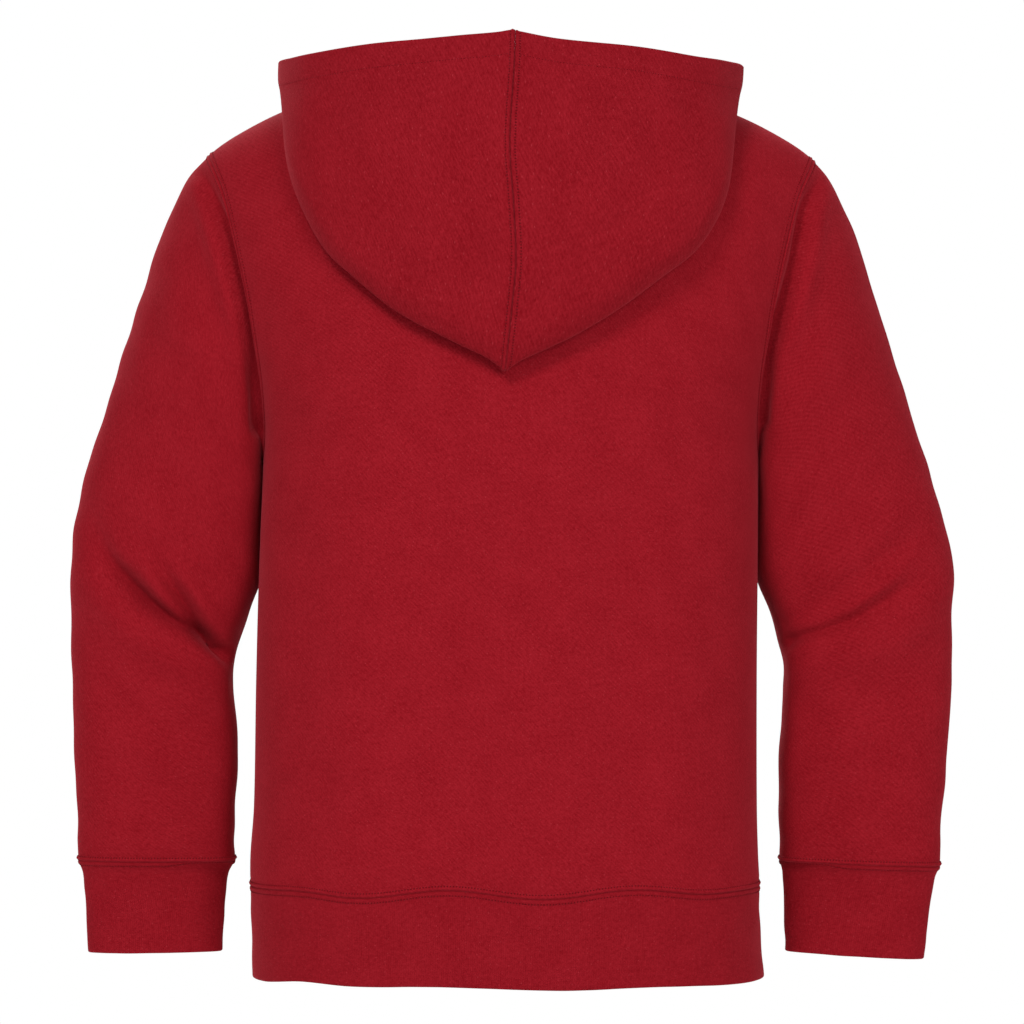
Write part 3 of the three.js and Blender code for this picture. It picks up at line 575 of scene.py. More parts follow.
class ClothMesh:
    """Makes the closed thin shell of one cut piece from the points of its outer face."""

    UV = "cloth"
    UV_SCALE = 100.0
    EDGE_ROUND = 0.45
    EDGE_TURNS = (36, 72, 108, 144)
    # Name of the painted shade attribute: darkening of seam grooves and deep creases.
    SHADE = "painted_seam_crease_shade"

    def __init__(self, name: str, cloth: Cloth, thickness: Array | float, free_edge: bool) -> None:
        """Keeps what the shell is made from.

        Args:
            name: name of the piece.
            cloth: its outer face.
            thickness: thickness of the wall, one value or one for each point.
            free_edge: whether the last row is a free edge, which is rounded.
        """
        self.name = name
        self.cloth = cloth
        self.thickness = np.broadcast_to(np.asarray(thickness, float), cloth.points.shape[:2])
        self.free_edge = free_edge

    def profile(self) -> tuple[Array, list[int]]:
        """Rows from the start of the outer face over the far edge and back along the inner face.

        Returns:
            The points, and for each row the outer row that it belongs to.
        """
        outer = self.cloth.points
        normals = self.cloth.normals()
        for (r, c), normal in self.cloth.edge_normals.items():
            normals[r, c] = normal
        inner = outer - normals * self.thickness[..., None]
        count = len(outer)
        rows, source = [outer], list(range(count))
        if self.free_edge:
            ahead = unit(outer[-1] - outer[-3])
            for turn in self.EDGE_TURNS:
                angle = math.radians(turn)
                over = lerp(outer[-1], inner[-1], (1 - math.cos(angle)) / 2)
                reach = self.thickness[-1, :, None] * self.EDGE_ROUND * math.sin(angle)
                rows.append((over + ahead * reach)[None])
                source.append(count - 1)
        rows.append(inner[::-1])
        source += list(range(count))[::-1]
        return np.concatenate(rows), source

    def flat(self) -> tuple[Array, Array, Array]:
        """Place of each point on the flat cloth in millimetres.

        Returns:
            Across at each face's first column, across at its second column, and along.
        """
        points = self.cloth.points
        columns = points.shape[1]
        hand = -self.cloth.outward
        along = self.cloth.from_start().mean(axis=1)[:, None]
        if self.cloth.closed:
            around = np.linalg.norm(points - np.roll(points, -1, axis=1), axis=-1).sum(axis=1)
            column = np.arange(columns)
            share = np.where(column < columns // 2, column, column - columns) / columns
            first, second = share * around[:, None], (share + 1 / columns) * around[:, None]
            return hand * first, hand * second, along + 0 * first
        run = self.cloth.from_column(True)
        across = hand * (run - run[:, self.cloth.middle, None])
        return across[:, :-1], across[:, 1:], along + 0 * across[:, 1:]

    def build(self, shade: Array, material: bpy.types.Material) -> bpy.types.Object:
        """Makes the piece.

        Args:
            shade: how much painted shade each outer point gets, along the seams and in deep creases.
            material: its finish.

        Returns:
            The new object, in metres.
        """
        points, source = self.profile()
        quads, uv = self.faces(source)
        mesh = bpy.data.meshes.new(self.name)
        mesh.from_pydata((points.reshape(-1, 3) * MM).tolist(), [], quads.tolist())
        layer = mesh.uv_layers.new(name=self.UV)
        layer.data.foreach_set("uv", (uv / self.UV_SCALE).astype(np.float32).ravel())
        attribute = mesh.attributes.new(self.SHADE, "FLOAT", "POINT")
        attribute.data.foreach_set("value", shade[source].astype(np.float32).ravel())
        mesh.polygons.foreach_set("use_smooth", np.ones(len(quads), bool))
        return add_piece(mesh, material)

    def faces(self, source: list[int]) -> tuple[Array, Array]:
        """Faces of the shell.

        Args:
            source: for each row all the way round the wall, the outer row that it belongs to.

        Returns:
            The four points of each face, and their places on the flat cloth.
        """
        count, columns = len(source), self.cloth.points.shape[1]
        spans = columns if self.cloth.closed else columns - 1
        r, c = np.meshgrid(np.arange(count), np.arange(spans), indexing="ij")
        r2, c2 = (r + 1) % count, (c + 1) % columns
        quads = np.stack([r * columns + c, r * columns + c2, r2 * columns + c2, r2 * columns + c], -1)
        first, second, along = (value[source] for value in self.flat())
        low, high = np.stack([first, second, along], -1), np.stack([first, second, along], -1)[r2[:, 0]]
        uv = np.stack([low[..., [0, 2]], low[..., [1, 2]], high[..., [1, 2]], high[..., [0, 2]]], 2)
        quads, uv = quads.reshape(-1, 4), uv.reshape(-1, 4, 2)
        if not self.cloth.closed:
            strips = [self.side_strip(count, columns, end) for end in (0, columns - 1)]
            quads = np.concatenate([quads, *strips])
            uv = np.concatenate([uv, np.zeros((sum(map(len, strips)), 4, 2))])
        if self.cloth.outward < 0:
            quads, uv = quads[:, ::-1], uv[:, ::-1]
        return quads, uv

    @staticmethod
    def side_strip(count: int, columns: int, end: int) -> Array:
        """Faces that close the wall along its first or last column."""
        r = np.arange(count // 2 - 1)
        outer, outer2 = r * columns + end, (r + 1) * columns + end
        inner, inner2 = (count - 1 - r) * columns + end, (count - 2 - r) * columns + end
        if end == 0:
            return np.stack([outer, outer2, inner2, inner], axis=-1)
        return np.stack([outer, inner, inner2, outer2], axis=-1)


def join_edges(cloths: Iterable[Cloth], gap: float = 0.04) -> None:
    """Gives edges that lie on each other one direction through the wall and a hair's gap.

    Args:
        cloths: the pieces that are sewn together.
        gap: width of the gap.
    """
    meeting: dict[tuple, list] = {}
    for cloth in cloths:
        normals = cloth.normals()
        rows, columns = cloth.points.shape[:2]
        places = {(r, c) for r in (0, rows - 1) for c in range(columns)}
        if not cloth.closed:
            places |= {(r, c) for r in range(rows) for c in (0, columns - 1)}
        for r, c in sorted(places):
            key = tuple(np.round(cloth.points[r, c] + MEETING_SHIFT, 2))
            meeting.setdefault(key, []).append((cloth, r, c, normals[r, c]))
    moves = []
    for group in meeting.values():
        if len(group) < 2:
            continue
        shared = unit(sum(entry[3] for entry in group))
        reach = max(STEEPEST_JOIN, float(np.mean([entry[3] @ shared for entry in group])))
        for cloth, r, c, _ in group:
            cloth.edge_normals[(r, c)] = shared / reach
            moves.append((cloth, r, c, cloth.way_in(r, c)))
    for cloth, r, c, way in moves:
        cloth.points[r, c] = cloth.points[r, c] + way * gap / 2


def add_piece(mesh: bpy.types.Mesh, material: bpy.types.Material) -> bpy.types.Object:
    """Puts a finished mesh into the scene with its material."""
    mesh.materials.append(material)
    mesh.update()
    piece = bpy.data.objects.new(mesh.name, mesh)
    bpy.context.scene.collection.objects.link(piece)
    return piece


@dataclass
class Stitches:
    """Rows of short thread stitches, all in one mesh."""

    name: str
    pitch: float = 1.95
    length: float = 0.9
    half_width: float = 0.6
    height: float = 0.22
    rise: float = 0.35
    reach: float = 0.6
    corners: list = field(default_factory=list)
    faces: list = field(default_factory=list)

    RINGS = ((-0.5, 0.4), (-0.28, 1.0), (0.28, 1.0), (0.5, 0.4))
    ROUND = ((1, 0), (0, 1), (-1, 0), (0, -1))

    def sew(self, path: Array, normals: Array, closed: bool = False, size: float = 1.0) -> None:
        """Adds one row of stitches.

        Args:
            path: points of the row.
            normals: outward normals there.
            closed: whether the row comes back to its start.
            size: how large these stitches are beside the usual ones.
        """
        if closed:
            path, normals = np.vstack([path, path[:1]]), np.vstack([normals, normals[:1]])
        run = distances(path)
        count = max(1, int(run[-1] / self.pitch))
        at = (np.arange(count) + 0.5) * run[-1] / count
        middle = self.read(path, run, at)
        out = unit(self.read(normals, run, at))
        way = unit(self.read(path, run, at + self.reach) - self.read(path, run, at - self.reach))
        side = unit(np.cross(out, way))
        for i in range(count):
            first = len(self.corners)
            for place, swell in self.RINGS:
                centre = middle[i] + way[i] * place * self.length
                centre = centre + out[i] * self.height * self.rise * size
                for a, b in self.ROUND:
                    offset = side[i] * a * self.half_width + out[i] * b * self.height
                    self.corners.append(centre + offset * swell * size)
            for ring in range(3):
                for k in range(4):
                    a, b = first + ring * 4 + k, first + ring * 4 + (k + 1) % 4
                    self.faces.append((a, a + 4, b + 4, b))
            self.faces.append(tuple(first + k for k in range(4)))
            self.faces.append(tuple(first + 12 + k for k in (3, 2, 1, 0)))

    @staticmethod
    def read(values: Array, run: Array, at: Array) -> Array:
        """Vectors along a row at given distances from its start."""
        return np.stack([np.interp(at, run, values[:, k]) for k in range(3)], axis=-1)

    def build(self, material: bpy.types.Material) -> bpy.types.Object:
        """Makes the mesh of all rows."""
        mesh = bpy.data.meshes.new(self.name)
        mesh.from_pydata((np.array(self.corners) * MM).tolist(), [], self.faces)
        mesh.polygons.foreach_set("use_smooth", np.ones(len(self.faces), bool))
        return add_piece(mesh, material)


class Maths:
    """A shader socket that takes part in expressions."""

    def __init__(self, shader: "Shader", socket: bpy.types.NodeSocket) -> None:
        """Keeps the socket and the shader that it belongs to."""
        self.shader = shader
        self.socket = socket

    def apply(self, operation: str, first: Any, second: Any = 0.0) -> "Maths":
        """Adds one Math node."""
        node = self.shader.node("ShaderNodeMath", {"operation": operation}, {0: first, 1: second})
        return Maths(self.shader, node.outputs[0])

    def __add__(self, other: Any) -> "Maths":
        """Sum."""
        return self.apply("ADD", self, other)

    def __radd__(self, other: Any) -> "Maths":
        """Sum with a number on the left."""
        return self.apply("ADD", other, self)

    def __sub__(self, other: Any) -> "Maths":
        """Difference."""
        return self.apply("SUBTRACT", self, other)

    def __rsub__(self, other: Any) -> "Maths":
        """Difference with a number on the left."""
        return self.apply("SUBTRACT", other, self)

    def __mul__(self, other: Any) -> "Maths":
        """Product."""
        return self.apply("MULTIPLY", self, other)

    def __rmul__(self, other: Any) -> "Maths":
        """Product with a number on the left."""
        return self.apply("MULTIPLY", other, self)

    def sine(self) -> "Maths":
        """Sine."""
        return self.apply("SINE", self)

    def step(self, low: float, high: float) -> "Maths":
        """Soft step from 0 at low to 1 at high."""
        settings = {"interpolation_type": "SMOOTHSTEP"}
        values = {"Value": self, "From Min": low, "From Max": high}
        return Maths(self.shader, self.shader.node("ShaderNodeMapRange", settings, values).outputs[0])


class Shader:
    """Builds one material's nodes."""

    def __init__(self, name: str) -> None:
        """Makes a material with nothing in it but its output."""
        self.material = bpy.data.materials.new(name)
        self.material.use_nodes = True
        self.tree = self.material.node_tree
        self.tree.nodes.clear()

    def node(self, kind: str, settings: dict | None = None, values: dict | None = None) -> Any:
        """Adds a node.

        Args:
            kind: the node's type.
            settings: its own settings, set first.
            values: numbers, colours or links for its sockets, by name or index.

        Returns:
            The node.
        """
        made = self.tree.nodes.new(kind)
        for key, value in (settings or {}).items():
            setattr(made, key, value)
        for key, value in (values or {}).items():
            socket = made.inputs[key]
            source = value.socket if isinstance(value, Maths) else value
            if isinstance(source, bpy.types.NodeSocket):
                self.tree.links.new(source, socket)
            else:
                socket.default_value = source
        return made

    def parts(self, vector: Any) -> list[Maths]:
        """The three parts of a vector."""
        return [
            Maths(self, part) for part in self.node("ShaderNodeSeparateXYZ", None, {0: vector}).outputs
        ]

    def flat_cloth(self) -> tuple[Any, Maths, Maths]:
        """Place on the flat cloth in millimetres.

        Returns:
            The place as a vector, and its two coordinates.
        """
        uv = self.node("ShaderNodeUVMap", {"uv_map": ClothMesh.UV})
        values = {0: uv.outputs[0], "Scale": ClothMesh.UV_SCALE}
        place = self.node("ShaderNodeVectorMath", {"operation": "SCALE"}, values).outputs[0]
        across, along, _ = self.parts(place)
        return place, across, along

    def noise(self, vector: Any, scale: float, detail: float, roughness: float = 0.55) -> Maths:
        """Noise of a given scale."""
        values = {"Vector": vector, "Scale": scale, "Detail": detail, "Roughness": roughness}
        return Maths(self, self.node("ShaderNodeTexNoise", None, values).outputs[0])

    def combine(self, x: Any, y: Any, z: Any = 0.0) -> Any:
        """A vector from its parts."""
        return self.node("ShaderNodeCombineXYZ", None, {0: x, 1: y, 2: z}).outputs[0]

    def mix(self, first: Any, second: Any, share: Any) -> Any:
        """One colour mixed into another."""
        settings = {"data_type": "RGBA", "clamp_factor": True}
        return self.node("ShaderNodeMix", settings, {0: share, 6: first, 7: second}).outputs[2]

    def cloth_finish(self, colour: Any, height: Maths, finish: "KnitFinish") -> None:
        """Ends the material in a matt cloth shader.

        Args:
            colour: base colour.
            height: relief of the surface.
            finish: the finish's constants.
        """
        relief = {"Height": height, "Strength": finish.relief, "Distance": finish.relief_mm * MM}
        values = {
            "Base Color": colour,
            "Roughness": finish.roughness,
            "Specular IOR Level": finish.specular,
            "Sheen Weight": finish.sheen,
            "Sheen Roughness": finish.sheen_roughness,
            "Sheen Tint": finish.sheen_tint,
            "Normal": self.node("ShaderNodeBump", None, relief).outputs[0],
        }
        shader = self.node("ShaderNodeBsdfPrincipled", None, values)
        self.node("ShaderNodeOutputMaterial", None, {0: shader.outputs[0]})


@dataclass(frozen=True)
class KnitFinish:
    """A red cotton knit: its colours, the scale of its structure and how it takes light."""

    name: str
    dark: tuple = (0.2, 0.0024, 0.0064, 1.0)
    light: tuple = (0.37, 0.0145, 0.0245, 1.0)
    # Painted shade: colour that seam grooves and deep creases are darkened towards.
    painted_shade_colour: tuple = (0.085, 0.001, 0.0025, 1.0)
    fleck: tuple = (0.5, 0.05, 0.065, 1.0)
    roughness: float = 0.92
    specular: float = 0.03
    sheen: float = 0.3
    sheen_roughness: float = 0.4
    sheen_tint: tuple = (1.0, 0.13, 0.17, 1.0)
    relief: float = 0.55
    relief_mm: float = 0.35
    twill_mm: float = 1.9
    twill: float = 0.5
    wale_mm: float = 1.05
    wale: float = 0.0
    wander: float = 3.0
    grain_scale: float = 1.15
    grain_weight: float = 1.7
    tuft_scale: float = 0.42
    tuft_weight: float = 1.1
    cloud_scale: float = 0.045
    cloud_weight: float = 0.5
    streak_scale: tuple[float, float] = (1.3, 0.28)
    streak_weight: float = 1.2
    twill_weight: float = 0.17
    wale_weight: float = 0.1
    tone_range: tuple[float, float] = (-0.35, 1.35)
    lint_scale: float = 0.17
    lint_size: tuple[float, float] = (0.03, 0.09)
    lint_chosen: tuple[float, float] = (0.45, 0.6)
    fleck_share: float = 0.3
    painted_shade_share: float = 0.5

    HALF_ROOT = 0.7071

    def material(self) -> bpy.types.Material:
        """Makes the material."""
        shader = Shader(self.name)
        place, u, v = shader.flat_cloth()
        diagonal, length = (u - v) * self.HALF_ROOT, (u + v) * self.HALF_ROOT
        grain = shader.noise(place, self.grain_scale, 4.0, 0.7)
        tuft = shader.noise(place, self.tuft_scale, 3.0, 0.6)
        cloud = shader.noise(place, self.cloud_scale, 3.0, 0.55)
        close, far = self.streak_scale
        streak = shader.noise(shader.combine(diagonal * close, length * far), 1.0, 2.0, 0.6)
        wander = (tuft - 0.5) * self.wander
        twill = (diagonal * (2 * math.pi / self.twill_mm) + wander).sine()
        wale = (u * (2 * math.pi / self.wale_mm) + wander * 0.5).sine()
        texture = (
            (grain - 0.5) * self.grain_weight
            + (tuft - 0.5) * self.tuft_weight
            + (streak - 0.5) * self.streak_weight * self.twill
            + twill * self.twill_weight * self.twill
            + wale * self.wale_weight * self.wale
        )
        tone = (texture + (cloud - 0.5) * self.cloud_weight + 0.5).step(*self.tone_range)
        colour = shader.mix(self.dark, self.light, tone)
        values = {"Vector": place, "Scale": self.lint_scale}
        lint = shader.node("ShaderNodeTexVoronoi", {"voronoi_dimensions": "2D"}, values)
        chosen = shader.parts(lint.outputs[1])[0].step(*self.lint_chosen)
        speck = (1 - Maths(shader, lint.outputs[0]).step(*self.lint_size)) * chosen
        colour = shader.mix(colour, self.fleck, speck * self.fleck_share)
        # Painted shade: seam grooves, stitch rows and deep creases darkened in the base colour.
        shade = shader.node("ShaderNodeAttribute", {"attribute_name": ClothMesh.SHADE})
        shaded = Maths(shader, shade.outputs["Fac"]) * self.painted_shade_share
        colour = shader.mix(colour, self.painted_shade_colour, shaded)
        shader.cloth_finish(colour, texture, self)
        return shader.material


@dataclass(frozen=True)
class HoleShadeThreadFinish(KnitFinish):
    """Sewing thread, darker than the cloth: real stitches with painted shade of their needle holes."""

    # Painted shade: the thread's dark colour stands for the shade in the needle holes.
    colour: tuple = (0.13, 0.002, 0.005, 1.0)
    twist_scale: float = 1800.0

    def material(self) -> bpy.types.Material:
        """Makes the material."""
        shader = Shader(self.name)
        place = shader.node("ShaderNodeTexCoord").outputs["Object"]
        twist = shader.noise(place, self.twist_scale, 2.0)
        colour = shader.mix(self.colour, self.light, (twist - 0.4) * 0.5)
        shader.cloth_finish(colour, twist, self)
        return shader.material


@dataclass
class Finishes:
    """The materials of the garment."""

    fleece: bpy.types.Material = field(default_factory=lambda: KnitFinish("red_fleece").material())
    # Painted shade: a darker copy of the fleece that stands for the dimmer light on the hood.
    hood: bpy.types.Material = field(
        default_factory=lambda: KnitFinish(
            "red_fleece_painted_hood_shade",
            dark=(0.18, 0.0021, 0.0056, 1.0),
            light=(0.333, 0.0128, 0.0218, 1.0),
        ).material()
    )
    rib: bpy.types.Material = field(
        default_factory=lambda: KnitFinish(
            "red_rib_knit",
            dark=(0.186, 0.0022, 0.006, 1.0),
            light=(0.345, 0.0132, 0.0225, 1.0),
            twill=0.12,
            wale=1.0,
        ).material()
    )
    # Thread darkened as painted shade of the needle holes.
    thread: bpy.types.Material = field(
        default_factory=lambda: HoleShadeThreadFinish("thread_painted_hole_shade", roughness=0.7, relief=0.2).material()
    )


@dataclass(frozen=True)
class FlatCut:
    """Width and length of the cloth that a piece was cut from, in metres, and the cut's area."""

    size: tuple[float, float]
    area: float | None = None


class SewnPiece:
    """What every cut piece of the garment shares: its cloth, its seams and its place in the model."""

    node: str
    cut: FlatCut
    cloth: Cloth
    shade: Array
    slot_name: str = "fleece"
    finish: str = ""
    thickness: Array | float = 2.0
    free_edge: bool = False
    held: str = "hung"

    def seams(self) -> Array:
        """Raises the seams' ridges and returns the shading of their grooves."""
        raise NotImplementedError

    def stitch(self, stitches: Stitches) -> None:
        """Sews the rows beside this piece's seams."""
        raise NotImplementedError

    def build(self, finishes: Finishes) -> None:
        """Makes the piece, puts it in the place of its solid, hides that solid and logs the cloth's
        area.
        """
        mesh = ClothMesh(f"{self.node}_cloth", self.cloth, self.thickness, self.free_edge)
        piece = mesh.build(self.shade, getattr(finishes, self.finish or self.slot_name))
        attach(piece, "root")
        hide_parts(self.node)
        area = self.cloth.area() * MM * MM
        log.info("%s: %d faces, %.4f m2 of cloth", piece.name, len(piece.data.polygons), area)


@dataclass
class Panel(SewnPiece):
    """The back or the front of the body."""

    face: Face
    creases: tuple[Crease, ...]
    step: float = 3.1
    half_width: float = 229.0
    body_height: float = 277.0
    yoke_steps: int = 84
    cut: FlatCut = FlatCut((0.46, 0.575), 0.235)
    rows: Array = field(init=False)
    yoke: int = field(init=False)

    def __post_init__(self) -> None:
        """Works out the outer face."""
        self.node = f"{self.face.key}_panel"
        share = graded(self.half_width, self.step, (False, True))
        low = graded(self.body_height, self.step, (True, False))
        self.rows = np.concatenate([low, 1 + np.arange(1, self.yoke_steps + 1) / self.yoke_steps])
        self.yoke = int(np.argmax(self.rows >= 1))
        right = TORSO.half(self.face, Side.RIGHT, share, self.rows)[:, :0:-1]
        left = TORSO.half(self.face, Side.LEFT, share, self.rows)
        points = np.concatenate([right, left], axis=1)
        self.cloth = Cloth(points, -self.face.value, middle=len(share) - 1)
        from_top = smoothstep((2 - self.rows) * TORSO.yoke_rows, 1, 5)[:, None]
        inside = np.minimum(self.cloth.from_column(True), self.cloth.from_column(False))
        self.cloth.press(self.creases, self.face, from_top * smoothstep(inside, 0, 6))
        quiet = smoothstep(inside, 2, 25) * smoothstep(self.rows[:, None], 0.03, 0.2) * from_top
        self.cloth.soften(passes=6, keep=1 - 0.9 * quiet)
        self.cloth.waver(size=0.7, length=74, turn=0.4 + self.face.value, strength=quiet)

    def seams(self) -> Array:
        """Raises the seams' ridges and returns the shading of their grooves."""
        waist = self.cloth.from_start()
        sides = np.minimum(self.cloth.from_column(True), self.cloth.from_column(False))
        upper = smoothstep(self.rows[:, None], 0.985, 1.015)
        away = smoothstep(waist, 2, 6)
        lift = BODY_SEAM.profile(waist) * smoothstep(sides, 0, 3)
        lift = lift + lerp(PLAIN_SEAM.profile(sides), ARM_SEAM.profile(sides), upper) * away
        self.cloth.lift(lift)
        return np.maximum(BODY_SEAM.shade(waist), ARM_SEAM.shade(sides) * upper)

    def stitch(self, stitches: Stitches) -> None:
        """Sews the rows beside the waist seam and the armholes."""
        stitches.sew(*self.cloth.path_at(self.cloth.from_start(), BODY_SEAM.stitch_at, FIRST_ROWS))
        across = self.cloth.turned()
        for first, rows in ((True, FIRST_ROWS), (False, LAST_ROWS)):
            away = np.swapaxes(self.cloth.from_column(first), 0, 1)
            path, normals = across.path_at(away, ARM_SEAM.stitch_at, rows)
            stitches.sew(path[self.yoke :], normals[self.yoke :])


def armhole_loop(back: Panel, front: Panel, side: Side) -> Array:
    """The armhole as one loop: shoulder tip, down the back, underarm, up the front."""
    column = -1 if side is Side.LEFT else 0
    down = back.cloth.points[back.yoke :, column][::-1]
    return np.concatenate([down, front.cloth.points[front.yoke + 1 : -1, column]])


class Band(SewnPiece):
    """A ribbed band, which is sewn on along its row 0 and free at its last row."""

    slot_name: str = "rib"
    thickness: Array | float = 2.8
    free_edge: bool = True
    length: float
    step: float = 3.1

    def down(self) -> Array:
        """Distance of each row from the seam."""
        return graded(self.length, self.step, (True, False))[:, None] * self.length

    def seams(self) -> Array:
        """Raises the seam's ridge and returns the shading of its grooves."""
        away = self.cloth.from_start()
        self.cloth.lift(BAND_SEAM.profile(away))
        return BAND_SEAM.shade(away)

    def stitch(self, stitches: Stitches) -> None:
        """Sews the row below the seam."""
        path = self.cloth.path_at(self.cloth.from_start(), BAND_SEAM.stitch_at, FIRST_ROWS)
        stitches.sew(*path, closed=True)


@dataclass
class Waistband(Band):
    """The ribbed band that hangs from the waist seam."""

    back: Panel
    front: Panel
    node: str = "waistband"
    length: float = 58.1
    cut: FlatCut = FlatCut((0.905, 0.06))
    hem: Table = Table(
        ("x", "lower"),
        (
            (-165, 0.3), (-140, 0.9), (-104, 0.3), (-79, 0.4), (-53, 1.3), (-26, 1.6), (14, 0.3),
            (57, -0.5), (103, 0.1), (136, -1.6), (160, 0.6),
        ),
    )

    def __post_init__(self) -> None:
        """Works out the outer face."""
        back, front = self.back.cloth.points[0], self.front.cloth.points[0]
        seam = np.concatenate([back, front[1:-1][::-1]])
        on_back = np.arange(len(seam)) < len(back)
        down = self.down()
        z = np.broadcast_to(TORSO.waist_z - down, (len(down), len(seam)))
        wide = {side: TORSO.sides.read(side.key, z) for side in Side}
        deep = {face: TORSO.depths.read(face.key, z) for face in Face}
        wide = {side: value / value[0] for side, value in wide.items()}
        deep = {face: value / value[0] for face, value in deep.items()}
        x = seam[:, 0] * np.where(seam[:, 0] < 0, wide[Side.RIGHT], wide[Side.LEFT])
        y = seam[:, 1] * np.where(on_back, deep[Face.BACK], deep[Face.FRONT])
        dip = self.hem.read("lower", seam[:, 0]) * np.where(on_back, 1, -0.6)
        low = lerp(seam[:, 2], TORSO.waist_z - self.length - dip, down / self.length)
        self.cloth = Cloth(np.stack([x, y, low], axis=-1), 1, closed=True)
        self.cloth.waver(size=0.55, length=46, turn=1.9, strength=smoothstep(down, 3, 16))


@dataclass(frozen=True)
class SleeveForm:
    """Outline and depth of one sleeve and of its cuff, and the sleeve's folds."""

    arm: Table
    cuff: Table
    folds: dict[Face, tuple[Crease, ...]]
    beside_seam: tuple[Crease, ...]

    ARM = ("at", "out_x", "out_z", "in_x", "in_z", "half", "forward")
    CUFF = ("down", "out_x", "in_x", "half", "tilt")


@dataclass
class Sleeve(SewnPiece):
    """A sleeve, which passes from the armhole's own loop to a plain oval at the cuff."""

    side: Side
    loop: Array
    form: SleeveForm
    length: float = 470.0
    step: float = 2.5
    square: float = 0.66
    head: float = 3.2
    fold_rows: int = 21
    # Strength of the painted shade in deep creases.
    fold_shade: float = 0.7
    cut: FlatCut = FlatCut((0.42, 0.47), 0.135)
    painted_crease_shade: Array = field(init=False)

    def __post_init__(self) -> None:
        """Works out the outer face."""
        self.node = f"sleeve_{self.side.key}"
        rows = graded(self.length, self.step, (True, True))
        arm = self.form.arm
        at = rows * (len(arm.rows) - 1)
        form = {name: arm.read(name, at)[:, None] for name in arm.columns[1:]}
        moved = {name: value - value[0] for name, value in form.items()}
        turn = 2 * math.pi * np.arange(len(self.loop)) / len(self.loop)
        power = lerp(1, self.square, smoothstep(-np.cos(turn), 0, 0.9))
        across = np.sign(np.cos(turn)) * np.abs(np.cos(turn)) ** power
        deep = np.sign(np.sin(turn)) * np.abs(np.sin(turn)) ** power
        sign, outward = self.side.value, (1 + across) / 2
        x = sign * lerp(form["in_x"], form["out_x"], outward)
        y = form["half"] * deep - form["forward"]
        oval = np.stack([x, y, lerp(form["in_z"], form["out_z"], outward)], axis=-1)
        shift_x = sign * lerp(moved["in_x"], moved["out_x"], outward)
        shift_z = lerp(moved["in_z"], moved["out_z"], outward)
        shift = np.stack([shift_x, 0 * shift_x - form["forward"], shift_z], axis=-1)
        own = smoothstep(at, 0, self.head)[:, None, None]
        self.cloth = Cloth(lerp(self.loop + shift, oval, own), -sign, closed=True)
        away = self.cloth.from_start()
        quiet = smoothstep(np.minimum(away, self.cloth.from_end()), 3, 22)
        self.cloth.soften(passes=3, keep=1 - 0.8 * quiet)
        near_ends = rows * self.fold_rows, (1 - rows) * self.fold_rows
        strength = (smoothstep(near_ends[0], 0, 3) * smoothstep(near_ends[1], 0, 2))[:, None]
        pressed = sum(self.cloth.press(self.form.folds[face], face, strength) for face in Face)
        pressed += self.cloth.press(self.form.beside_seam, Face.BACK, smoothstep(away, 0.3, 4.5))
        # Painted shade: the deep creases darkened in the base colour, standing in for their shade.
        self.painted_crease_shade = self.fold_shade * smoothstep(pressed, 3, 13)
        self.cloth.waver(size=0.8, length=58, turn=2.2 + sign, strength=quiet)

    def seams(self) -> Array:
        """Raises the seams' ridges and returns the painted shade of their grooves and of the deep
        creases.
        """
        start, end = self.cloth.from_start(), self.cloth.from_end()
        self.cloth.lift(ARM_SEAM.profile(start) + BODY_SEAM.profile(end))
        return np.maximum.reduce([ARM_SEAM.shade(start), BODY_SEAM.shade(end), self.painted_crease_shade])

    def stitch(self, stitches: Stitches) -> None:
        """Sews the rows beside the armhole and above the cuff."""
        start = self.cloth.path_at(self.cloth.from_start(), ARM_SEAM.stitch_at, FIRST_ROWS)
        end = self.cloth.path_at(self.cloth.from_end(), BODY_SEAM.stitch_at, LAST_ROWS)
        stitches.sew(*start, closed=True)
        stitches.sew(*end, closed=True)


@dataclass
class Cuff(Band):
    """The ribbed cuff of a sleeve."""

    side: Side
    seam: Array
    form: Table
    length: float = 59.0
    seam_z: float = -518.5
    forward: float = 38.0
    lean: float = 0.04
    cut: FlatCut = FlatCut((0.245, 0.06))

    def __post_init__(self) -> None:
        """Works out the outer face."""
        self.node = f"cuff_{self.side.key}"
        down = self.down()
        form = {name: self.form.read(name, down) for name in self.form.columns[1:]}
        turn = 2 * math.pi * np.arange(len(self.seam)) / len(self.seam)
        outward = (1 + np.cos(turn)) / 2
        x = self.side.value * lerp(form["in_x"], form["out_x"], outward)
        y = form["half"] * np.sin(turn) - self.forward - self.lean * down
        points = np.stack([x, y, self.seam_z - down - form["tilt"] * outward], axis=-1)
        points[0] = self.seam
        self.cloth = Cloth(points, -self.side.value, closed=True)
        below_seam = smoothstep(down, 3, 16)
        self.cloth.waver(size=0.6, length=40, turn=0.7 * self.side.value, strength=below_seam)


